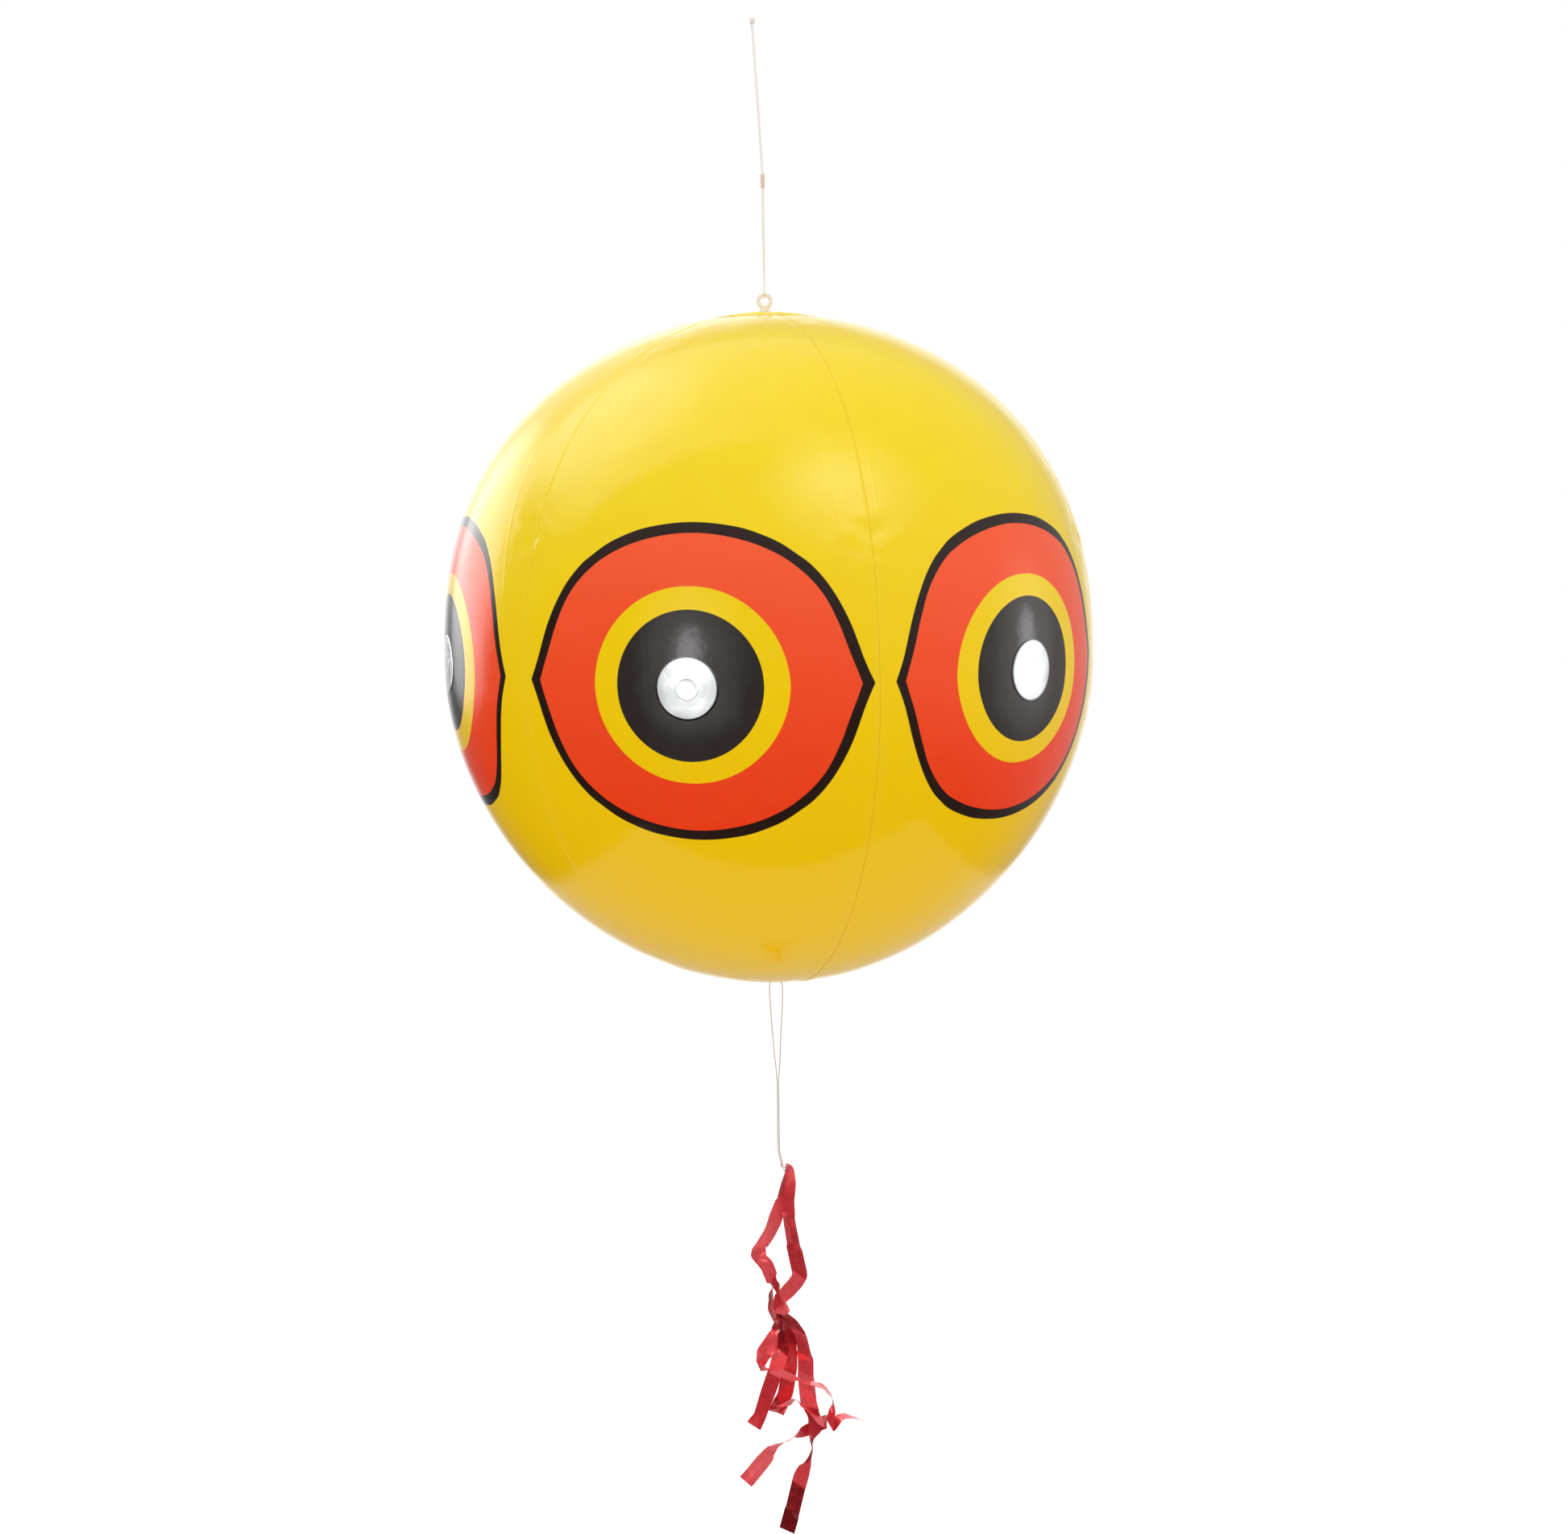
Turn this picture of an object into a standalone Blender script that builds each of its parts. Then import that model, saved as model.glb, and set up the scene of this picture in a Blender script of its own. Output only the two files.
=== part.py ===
"""Inflatable bird scare balloon on its cord, with a ribbon streamer on its tail string.

Metres, +Z up. The origin is the top end of the hanging cord, and -Y is the side that the
front eye faces, a little to the left. Each moving body hangs from an empty on its joint.
"""
import math

import bmesh
import bpy
from mathutils import Matrix, Vector

# Ball: a turned egg shape, fuller above its widest plane than below it
ball_radius = 0.1985
crown_height = 0.2132
base_height = 0.1963
crown_power = 2.46
base_power = 1.80
film = 0.0003
gap = 0.0003

# Gores: printed film panels, lap welded to each other at their right edges
gore_count = 6
front_gore_turn = math.radians(-103)
gore_bulge = 0.0008
gore_end_radius = 0.026
lap = 0.004
joggle = 0.0007
eye_rise = 0.0107
gore_rows = 20
gore_columns = 6

# End discs: round patches over the gore ends
disc_radius = 0.031
crown_pull = 0.0024
disc_segments = 36

# Pupil discs: silver film stuck over the printed pupils
pupil_foil_radius = 0.017
pupil_foil_film = 0.00025
foil_segments = 24

# Hang tabs: soft mouldings, each an eyelet ring on a neck, welded under its disc
top_ring_radius = 0.005
top_hole_radius = 0.0025
top_neck_width = 0.006
top_neck_length = 0.002
base_ring_radius = 0.0037
base_hole_radius = 0.0020
base_neck_width = 0.0044
base_neck_length = 0.0007
tab_thickness = 0.0020
tab_flange_radius = 0.0055
tab_flange = 0.0005
ring_segments = 28

# Valve: a flange on the bottom disc, a stem pushed through it, and a flap, plug and strap
valve_offset = 0.0160
valve_flange_radius = 0.0098
valve_flange = 0.0008
stem_radius = 0.0042
stem_bore_radius = 0.0027
stem_length = 0.0150
stem_rim_radius = 0.0056
stem_rim = 0.0010
plug_radius = 0.0024
plug_length = 0.0070
plug_cap_radius = 0.0045
plug_cap = 0.0012
flap_radius = 0.0036
flap_film = 0.0006
strap_width = 0.0025
strap_thickness = 0.0008
strap_reach = 0.0024
valve_segments = 24

# Hanging cord, its knots and the thin loop through the top eyelet
cord_diameter = 0.0016
cord_drop = 0.0896
cord_lean = 0.0046
end_knot_height = 0.0045
end_knot_radius = 0.0018
join_knot_height = 0.0093
join_knot_radius = 0.0015
loop_string = 0.0008
loop_strand_gap = 0.0001
loop_drop = 0.0652

# Tail string, its knot and the turn of string that ties the streamer on
tail_string = 0.0009
tail_strand_gap = 0.0001
tail_spread = 0.0041
tail_drop = 0.1243
tail_end_offset = 0.0019
tail_knot_radius = 0.0011

# Streamer ribbons: metallised film, gathered where they pass the tie and the knot
ribbon_width = 0.010
ribbon_film = 0.0003
ribbon_drop = 0.2575
gather_share = 0.4
knot_pitch = 0.0015
knot_height = 0.0080
knot_film = 0.0008
knot_flat_share = 0.6
tie_row = 30
knot_row = 20
ribbon_steps = 3
wrap_segments = 20
wrap_round_share = 0.35

# Overrun of every cut
overrun = 0.002

# Heights that follow from the sizes above
join_top_z = -cord_drop
loop_top_z = join_top_z - join_knot_height
top_ring_z = loop_top_z - loop_drop
crown_apex_z = top_ring_z - top_ring_radius - top_neck_length
axis_x = cord_lean


def profile_height(radius, power):
    """Height share at which the ball's profile has this radius."""
    return (1 - (radius / ball_radius) ** 2) ** (1 / power)


rim_height = crown_height * profile_height(disc_radius, crown_power)
widest_z = crown_apex_z - crown_pull - film - gap - rim_height
base_end_z = widest_z - base_height * profile_height(gore_end_radius, base_power)
base_rim_z = widest_z - base_height * profile_height(disc_radius, base_power)
base_face_z = base_end_z - gap - film
base_ring_z = base_face_z - base_neck_length - base_ring_radius
tail_end_z = base_ring_z - tail_drop

colours = {
    "vinyl_film": ((0.86, 0.62, 0.01), 0.22, 0.0),
    "disc_film": ((0.88, 0.66, 0.01), 0.25, 0.0),
    "tab_vinyl": ((0.80, 0.74, 0.72), 0.35, 0.0),
    "silver_film": ((0.80, 0.80, 0.80), 0.15, 1.0),
    "white_cord": ((0.82, 0.80, 0.77), 0.70, 0.0),
    "thin_string": ((0.78, 0.70, 0.60), 0.70, 0.0),
    "red_foil": ((0.55, 0.03, 0.04), 0.15, 1.0),
}


def clear_scene():
    for item in list(bpy.data.objects):
        bpy.data.objects.remove(item, do_unlink=True)


def finish(name):
    """One Principled material per finish, made when first asked for."""
    if name in bpy.data.materials:
        return bpy.data.materials[name]
    colour, roughness, metallic = colours[name]
    made = bpy.data.materials.new(name)
    made.use_nodes = True
    shader = made.node_tree.nodes["Principled BSDF"]
    shader.inputs["Base Color"].default_value = (*colour, 1)
    shader.inputs["Roughness"].default_value = roughness
    shader.inputs["Metallic"].default_value = metallic
    made.diffuse_color = (*colour, 1)
    return made


def pivot(name, place, parent=None):
    """Empty on a joint's axis. The pieces of the body that turns there hang from it."""
    made = bpy.data.objects.new(name, None)
    made.empty_display_size = ball_radius / gore_rows
    bpy.context.collection.objects.link(made)
    made.location = Vector(place) - (parent.matrix_world.translation if parent else Vector())
    made.parent = parent
    bpy.context.view_layer.update()
    return made


def piece(name, shape, material, body, smooth=True):
    """Object from a bmesh in world places, hung from its body's empty."""
    bmesh.ops.remove_doubles(shape, verts=shape.verts, dist=gap / 1000)
    bmesh.ops.recalc_face_normals(shape, faces=shape.faces)
    shape.transform(Matrix.Translation(-body.matrix_world.translation))
    mesh = bpy.data.meshes.new(name)
    shape.to_mesh(mesh)
    shape.free()
    made = bpy.data.objects.new(name, mesh)
    bpy.context.collection.objects.link(made)
    made.parent = body
    mesh.materials.append(finish(material))
    if smooth:
        mesh.shade_smooth()
        mesh.set_sharp_from_angle(angle=math.radians(35))
    return made


def combine(base, other, operation):
    """Boolean of two objects of one body. The second stays as a wire guide."""
    other.hide_render = True
    other.display_type = "WIRE"
    change = base.modifiers.new(operation.lower() + "_" + other.name, "BOOLEAN")
    change.operation = operation
    change.solver = "EXACT"
    change.object = other


def closed_sections(sections):
    """Closed solid through equal rings of points, capped at both ends."""
    shape = bmesh.new()
    rings = [[shape.verts.new(point) for point in ring] for ring in sections]
    count = len(rings[0])
    for first, second in zip(rings, rings[1:]):
        for i in range(count):
            j = (i + 1) % count
            shape.faces.new((first[i], first[j], second[j], second[i]))
    shape.faces.new(rings[0])
    shape.faces.new(reversed(rings[-1]))
    return shape


def film_strip(sections):
    """Closed strip of triangles through four-cornered rings. Its two broad faces are split
    along the same, shorter diagonal, so that they never meet."""
    shape = bmesh.new()
    rings = [[shape.verts.new(point) for point in ring] for ring in sections]
    for near, far in zip(rings, rings[1:]):
        rising = (near[0].co - far[1].co).length < (near[1].co - far[0].co).length
        for i, j, up in ((0, 1, rising), (3, 2, rising), (1, 2, True), (3, 0, True)):
            if up:
                shape.faces.new((near[i], near[j], far[j]))
                shape.faces.new((near[i], far[j], far[i]))
            else:
                shape.faces.new((near[i], near[j], far[i]))
                shape.faces.new((near[j], far[j], far[i]))
    for ring in (rings[0], rings[-1]):
        shape.faces.new(ring[:3])
        shape.faces.new((ring[0], ring[2], ring[3]))
    return shape


def turned(profile, segments, centre=(0, 0, 0), turn=None):
    """Solid of revolution of a closed (radius, height) outline about Z, then turned."""
    shape = bmesh.new()
    rings = []
    for radius, height in profile:
        if radius == 0:
            rings.append([shape.verts.new((0, 0, height))] * segments)
            continue
        angles = [2 * math.pi * i / segments for i in range(segments)]
        rings.append([shape.verts.new((radius * math.cos(a), radius * math.sin(a), height)) for a in angles])
    for first, second in zip(rings, rings[1:] + rings[:1]):
        for i in range(segments):
            j = (i + 1) % segments
            corners = list(dict.fromkeys((first[i], first[j], second[j], second[i])))
            if len(corners) > 2:
                shape.faces.new(corners)
    if turn:
        shape.transform(turn)
    shape.transform(Matrix.Translation(centre))
    return shape


def smooth_route(route, spacing):
    """Even points along a Catmull-Rom curve through the route's own points."""
    points = [Vector(p) for p in route]
    ends = [2 * points[0] - points[1]] + points + [2 * points[-1] - points[-2]]
    fine = []
    share_steps = 24
    for a, b, c, d in zip(ends, ends[1:], ends[2:], ends[3:]):
        for i in range(share_steps):
            t = i / share_steps
            fine.append(0.5 * (2 * b + (c - a) * t + (2 * a - 5 * b + 4 * c - d) * t ** 2
                               + (3 * b - a - 3 * c + d) * t ** 3))
    fine.append(points[-1])
    lengths = [0]
    for p, q in zip(fine, fine[1:]):
        lengths.append(lengths[-1] + (q - p).length)
    count = max(2, round(lengths[-1] / spacing))
    even = []
    k = 0
    for i in range(count + 1):
        goal = lengths[-1] * i / count
        while k < len(lengths) - 2 and lengths[k + 1] < goal:
            k += 1
        part = (goal - lengths[k]) / (lengths[k + 1] - lengths[k])
        even.append(fine[k].lerp(fine[k + 1], part))
    return even


def cord(name, route, diameter, material, body):
    """Round cord: a bevelled poly spline with filled caps."""
    line = bpy.data.curves.new(name, "CURVE")
    line.dimensions = "3D"
    line.bevel_depth = diameter / 2
    line.bevel_resolution = 2
    line.use_fill_caps = True
    places = smooth_route(route, 3 * diameter)
    spline = line.splines.new("POLY")
    spline.points.add(len(places) - 1)
    for point, place in zip(spline.points, places):
        point.co = (*(place - body.matrix_world.translation), 1)
    made = bpy.data.objects.new(name, line)
    bpy.context.collection.objects.link(made)
    made.parent = body
    line.materials.append(finish(material))
    return made


def film_point(angle, level, lift):
    """Point of the ball's film. level runs from 1 at the crown to -1 at the base, and lift
    stands off the film's outer face. Each gore swells a little between its seams."""
    power, height = (crown_power, crown_height) if level > 0 else (base_power, base_height)
    steep = abs(level)
    radius = ball_radius * math.sqrt(1 - steep ** power)
    out = 2 * radius / ball_radius ** 2
    up = math.copysign(power * steep ** (power - 1) / height, level)
    size = math.hypot(out, up)
    swell = gore_bulge * math.cos(gore_count * (angle - front_gore_turn)) * (1 - steep ** power)
    radius += (lift + swell) * out / size
    z = widest_z + height * level + lift * up / size
    return Vector((axis_x + radius * math.cos(angle), radius * math.sin(angle), z))


def gore_levels():
    """Levels of a gore's rows: its two rows under each end disc, then even steps."""
    tops = [profile_height(r, crown_power) for r in (gore_end_radius, disc_radius)]
    bases = [-profile_height(r, base_power) for r in (disc_radius, gore_end_radius)]
    start, stop = math.acos(tops[1]), math.acos(bases[0])
    middle = [math.cos(start + (stop - start) * i / gore_rows) for i in range(1, gore_rows)]
    return tops + middle + bases


def gore(name, middle, body):
    """One film panel. Its right edge steps in by a film and a gap, and runs on as a lap
    under the next panel."""
    half = math.pi / gore_count
    outer, inner = [], []
    for level in gore_levels():
        power = crown_power if level > 0 else base_power
        radius = ball_radius * math.sqrt(1 - abs(level) ** power)
        left, right = lap / radius - half, half - (joggle + gap) / radius
        places = [(-half, 0), (left, 0)]
        places += [(left + (right - left) * i / gore_columns, 0) for i in range(1, gore_columns)]
        places += [(right, 0), (half - gap / radius, -film - gap), (half + lap / radius, -film - gap)]
        outer.append([film_point(middle + a, level, lift) for a, lift in places])
        inner.append([film_point(middle + a, level, lift - film) for a, lift in places])
    shape = bmesh.new()
    skins = [[[shape.verts.new(p) for p in row] for row in skin] for skin in (outer, inner)]
    rows, columns = len(outer), len(outer[0])
    for skin in skins:
        for i in range(rows - 1):
            for j in range(columns - 1):
                shape.faces.new((skin[i][j], skin[i][j + 1], skin[i + 1][j + 1], skin[i + 1][j]))
    rim = [(0, j) for j in range(columns)] + [(i, columns - 1) for i in range(1, rows)]
    rim += [(rows - 1, j) for j in range(columns - 2, -1, -1)] + [(i, 0) for i in range(rows - 2, 0, -1)]
    for (a, b), (c, d) in zip(rim, rim[1:] + rim[:1]):
        shape.faces.new((skins[0][a][b], skins[0][c][d], skins[1][c][d], skins[1][a][b]))
    return piece(name, shape, "vinyl_film", body)


def pupil_foil(name, middle, body):
    """Silver disc over one printed pupil, laid on the ball's curve."""
    ring_shares = (0.35, 0.7, 1.0)
    level = eye_rise / crown_height
    skins = []
    for lift in (gap + pupil_foil_film, gap):
        centre = film_point(middle, level, lift)
        rings = []
        for share in ring_shares:
            ring = []
            for i in range(foil_segments):
                turn = 2 * math.pi * i / foil_segments
                across = share * pupil_foil_radius * math.cos(turn)
                up = share * pupil_foil_radius * math.sin(turn)
                height = crown_height if eye_rise + up > 0 else base_height
                ring.append(film_point(middle + across / ball_radius, (eye_rise + up) / height, lift))
            rings.append(ring)
        skins.append((centre, rings))
    shape = bmesh.new()
    made = []
    for centre, rings in skins:
        tip = shape.verts.new(centre)
        loops = [[shape.verts.new(p) for p in ring] for ring in rings]
        for i in range(foil_segments):
            j = (i + 1) % foil_segments
            shape.faces.new((tip, loops[0][i], loops[0][j]))
            for near, far in zip(loops, loops[1:]):
                shape.faces.new((near[i], far[i], far[j], near[j]))
        made.append(loops[-1])
    for i in range(foil_segments):
        j = (i + 1) % foil_segments
        shape.faces.new((made[0][i], made[0][j], made[1][j], made[1][i]))
    return piece(name, shape, "silver_film", body)


def slot_cutter(name, width, depth, centre, body):
    """Square-cornered cutter through a disc, wide along X and deep along Y."""
    shape = bmesh.new()
    bmesh.ops.create_cube(shape, size=1)
    shape.transform(Matrix.Diagonal((width, depth, 2 * overrun, 1)))
    shape.transform(Matrix.Translation(centre))
    return piece(name, shape, "disc_film", body, smooth=False)


def top_disc(body):
    """Round patch on the crown, drawn up to a low cone by the tab that it hangs from."""
    end_z = widest_z + crown_height * profile_height(gore_end_radius, crown_power) + gap
    rim_z = widest_z + rim_height + gap
    apex = crown_apex_z - film
    under = [(0, apex), (gore_end_radius, end_z), (disc_radius, rim_z)]
    over = [(r, z + film) for r, z in reversed(under)]
    disc = piece("top_disc", turned(under + over, disc_segments, (axis_x, 0, 0)), "disc_film", body)
    slot = slot_cutter("top_slot", top_neck_width + 2 * gap, tab_thickness + 2 * gap,
                       (axis_x, 0, crown_apex_z), body)
    combine(disc, slot, "DIFFERENCE")
    return disc


def bottom_disc(body):
    """Round patch on the base, flat inside the gore ends, with the valve's hole."""
    over = [(0, base_end_z - gap), (gore_end_radius, base_end_z - gap), (disc_radius, base_rim_z - gap)]
    under = [(r, z - film) for r, z in reversed(over)]
    disc = piece("bottom_disc", turned(over + under, disc_segments, (axis_x, 0, 0)), "disc_film", body)
    slot = slot_cutter("base_slot", tab_thickness + 2 * gap, base_neck_width + 2 * gap,
                       (axis_x, 0, base_face_z), body)
    combine(disc, slot, "DIFFERENCE")
    hole_radius = stem_radius + gap
    outline = [(0, -overrun), (hole_radius, -overrun), (hole_radius, overrun), (0, overrun)]
    hole = piece("valve_hole", turned(outline, valve_segments, (axis_x + valve_offset, 0, base_face_z)),
                 "disc_film", body)
    combine(disc, hole, "DIFFERENCE")
    return disc


def hang_tab(name, ring_z, ring_radius, hole_radius, neck_width, foot_z, slope, turn, body):
    """Eyelet ring with a soft rounded section, on a flared neck and a flange under the disc.
    foot_z is the flange's face that lies on the disc's inner side, and slope is its fall."""
    side = math.copysign(1, ring_z - foot_z)
    half = tab_thickness / 2
    middle, band = (ring_radius + hole_radius) / 2, (ring_radius - hole_radius) / 2
    section = []
    corner_turns = [math.pi * (0.5 + i) / 4 for i in range(8)]
    for angle in corner_turns:
        section.append((middle + band * math.cos(angle) / math.cos(math.pi / 8),
                        half * math.sin(angle) / math.cos(math.pi / 8)))
    section = [(max(hole_radius, min(ring_radius, r)), max(-half, min(half, z))) for r, z in section]
    facing = Matrix.Rotation(turn, 4, "Z") @ Matrix.Rotation(math.pi / 2, 4, "X")
    ring = piece(name, turned(section, ring_segments, (axis_x, 0, ring_z), facing), "tab_vinyl", body)
    neck_top = ring_z - side * (ring_radius + hole_radius) / 2
    waist = ring_z - side * ring_radius
    sections = []
    for width, z in ((neck_width, neck_top), (neck_width, waist),
                     (neck_width, foot_z - side * tab_flange / 2)):
        ring_points = []
        for sx, sy in ((-1, -1), (1, -1), (1, 1), (-1, 1)):
            point = Matrix.Rotation(turn, 4, "Z") @ Vector((sx * width / 2, sy * half, 0))
            ring_points.append(point + Vector((axis_x, 0, z)))
        sections.append(ring_points)
    neck = piece(name + "_neck", closed_sections(sections), "tab_vinyl", body)
    drop = slope * tab_flange_radius
    outline = [(0, foot_z), (tab_flange_radius, foot_z - side * drop),
               (tab_flange_radius, foot_z - side * (drop + tab_flange)), (0, foot_z - side * tab_flange)]
    flange = piece(name + "_flange", turned(outline, valve_segments, (axis_x, 0, 0)), "tab_vinyl", body)
    combine(ring, neck, "UNION")
    combine(ring, flange, "UNION")
    return ring


def knot(name, centre, radius, height, material, body):
    """Barrel-shaped knot, wound round the cord's own line."""
    lump_shares = ((0.0, 1.0), (0.62, 0.86), (0.95, 0.42), (0.86, 0.0), (0.95, -0.42), (0.62, -0.86), (0.0, -1.0))
    outline = [(r * radius, z * height / 2) for r, z in lump_shares]
    return piece(name, turned(outline, 16, centre), material, body)


def valve_parts(balloon, stem_body, plug_body, flap_body):
    """Flange on the disc, stem with its rim, plug with its cap, flap and strap."""
    x, y = axis_x + valve_offset, 0
    seat_z = base_face_z - gap
    face_z = seat_z - valve_flange
    bore = stem_radius + gap
    lip = valve_flange / 2
    flange = [(bore, seat_z), (valve_flange_radius, seat_z), (valve_flange_radius, seat_z - lip),
              (valve_flange_radius - lip, face_z), (bore, face_z)]
    piece("valve_flange", turned(flange, valve_segments, (x, y, 0)), "tab_vinyl", balloon)

    rim_top = face_z - gap
    rim_face = rim_top - stem_rim
    stem_top = rim_top + stem_length
    stem = [(stem_bore_radius, stem_top), (stem_radius - lip, stem_top), (stem_radius, stem_top - lip),
            (stem_radius, rim_top), (stem_rim_radius, rim_top), (stem_rim_radius, rim_face),
            (stem_bore_radius, rim_face)]
    piece("valve_stem", turned(stem, valve_segments, (x, y, 0)), "tab_vinyl", stem_body)

    cap_top = rim_face - gap
    plug = [(0, cap_top + plug_length), (plug_radius - lip, cap_top + plug_length),
            (plug_radius, cap_top + plug_length - lip), (plug_radius, cap_top), (plug_cap_radius, cap_top),
            (plug_cap_radius, cap_top - plug_cap / 2), (plug_cap_radius - plug_cap / 2, cap_top - plug_cap),
            (0, cap_top - plug_cap)]
    piece("valve_plug", turned(plug, valve_segments, (x, y, 0)), "tab_vinyl", plug_body)

    flap_z = stem_top + gap
    flap = [(0, flap_z), (flap_radius, flap_z), (flap_radius, flap_z + flap_film), (0, flap_z + flap_film)]
    piece("valve_flap", turned(flap, valve_segments, (x, y, 0)), "tab_vinyl", flap_body)

    inner, outer = plug_cap_radius + gap, stem_rim_radius + gap + strap_reach
    cap_mid, rim_mid = cap_top - plug_cap / 4, rim_face + stem_rim / 2
    bend = strap_thickness / 2
    line = [(inner, cap_mid - bend), (outer - bend, cap_mid - bend), (outer, cap_mid), (outer, rim_mid),
            (outer - bend, rim_mid + bend), (stem_rim_radius + gap, rim_mid + bend),
            (stem_rim_radius + gap, rim_mid - bend), (outer - strap_thickness, rim_mid - bend),
            (outer - strap_thickness, cap_mid + bend), (inner, cap_mid + bend)]
    sections = [[Vector((x + r, side * strap_width / 2, z)) for r, z in line] for side in (-1, 1)]
    piece("plug_strap", closed_sections(sections), "tab_vinyl", stem_body)


# Strands of the strings. A loop row is (apart, beside, up) and a tail row (apart, lean, down).
loop_strand_shares = (
    (1.0, 0.0, 1.0), (0.93, 0.06, 0.74), (0.76, 0.24, 0.46), (0.40, 0.53, 0.26), (0.0, 0.94, 0.14),
)
loop_tuck_share = 0.7
left_strand_shares = (
    (0.72, 0, 0.024), (0.97, 0, 0.045), (1, 0, 0.08), (0.81, 0, 0.20), (0.42, 0, 0.378), (0.03, 0.1, 0.531),
    (0, 0.1, 0.66), (0, 0, 0.80), (0, 0.1, 0.925), (0, 0.68, 0.97), (0, 1, 1),
)
right_strand_shares = (
    (0.72, 0, 0.024), (0.97, 0, 0.045), (1, 0, 0.08), (0.89, 0, 0.173), (0.53, 0, 0.322), (0.3, 0, 0.467),
    (0.03, 0.1, 0.539), (0, 0.1, 0.66), (0, 0, 0.80), (0, 0.1, 0.925), (0, 0.68, 0.97), (0, 1, 1),
)


def hanging_line(root, loop_body):
    """Cord from its end knot to the join knot, and the thin loop through the top eyelet."""
    knot("end_knot", (0, 0, -end_knot_height / 2), end_knot_radius, end_knot_height, "white_cord", root)
    cord_shares = (0.0, 0.3, 0.65, 1.0)
    start, stop = -end_knot_height - gap, join_top_z + gap
    route = [(cord_lean * s ** 0.95, 0, start + (stop - start) * s) for s in cord_shares]
    cord("hanging_cord", route, cord_diameter, "white_cord", root)
    knot("join_knot", (axis_x, 0, join_top_z - join_knot_height / 2), join_knot_radius,
         join_knot_height, "thin_string", root)
    beside = tab_thickness / 2 + gap + loop_string / 2
    pass_z = top_hole_radius - gap - loop_string / 2
    pitch = (loop_string + loop_strand_gap) / 2
    strand = [(across * pitch, side * beside, up * (loop_drop - gap)) for across, side, up in loop_strand_shares]
    strand += [(0, beside, top_ring_radius + loop_string), (0, beside, top_ring_radius - loop_string),
               (0, beside * loop_tuck_share, pass_z + loop_string / 4)]
    front = [(axis_x - x, -y, top_ring_z + z) for x, y, z in strand]
    back = [(axis_x + x, y, top_ring_z + z) for x, y, z in reversed(strand)]
    route = front + [(axis_x, 0, top_ring_z + pass_z)] + back
    cord("eyelet_loop", route, loop_string, "thin_string", loop_body)


def tail_line(body):
    """String through the base eyelet: two strands that run together down to the tail knot."""
    pass_z = tail_string / 2 + gap - base_hole_radius
    beside = tab_thickness / 2 + gap + tail_string / 2
    pitch = (tail_string + tail_strand_gap) / 2
    strands = []
    for side, shares in ((-1, left_strand_shares), (1, right_strand_shares)):
        strand = [(side * beside, pass_z - tail_string / 4)]
        for apart, lean, down in shares:
            across = side * (pitch + apart * (tail_spread - pitch)) + lean * tail_end_offset
            strand.append((across, -down * tail_drop))
        strands.append(strand)
    route = list(reversed(strands[0])) + [(0, pass_z)] + strands[1]
    places = [(axis_x + x, 0, base_ring_z + z) for x, z in route]
    cord("tail_string", places, tail_string, "thin_string", body)
    centre = (axis_x + tail_end_offset, 0, tail_end_z - gap - tail_knot_radius)
    knot("tail_knot", centre, tail_knot_radius, 2 * tail_knot_radius, "thin_string", body)


def wrap(name, section, half_x, half_y, centre, material, body):
    """Turn of string or film round gathered ribbon: a squarish oval ring. Each place of
    its section is (out from the opening, up from the centre)."""
    shape = bmesh.new()
    loops = []
    for i in range(wrap_segments):
        turn = 2 * math.pi * (i + 0.5) / wrap_segments
        way_x = math.copysign(abs(math.cos(turn)) ** wrap_round_share, math.cos(turn))
        way_y = math.copysign(abs(math.sin(turn)) ** wrap_round_share, math.sin(turn))
        loops.append([shape.verts.new(Vector(centre) + Vector(((half_x + out) * way_x, (half_y + out) * way_y, up)))
                      for out, up in section])
    count = len(section)
    for first, second in zip(loops, loops[1:] + loops[:1]):
        for j in range(count):
            k = (j + 1) % count
            shape.faces.new((first[j], first[k], second[k], second[j]))
    return piece(name, shape, material, body)


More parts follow.
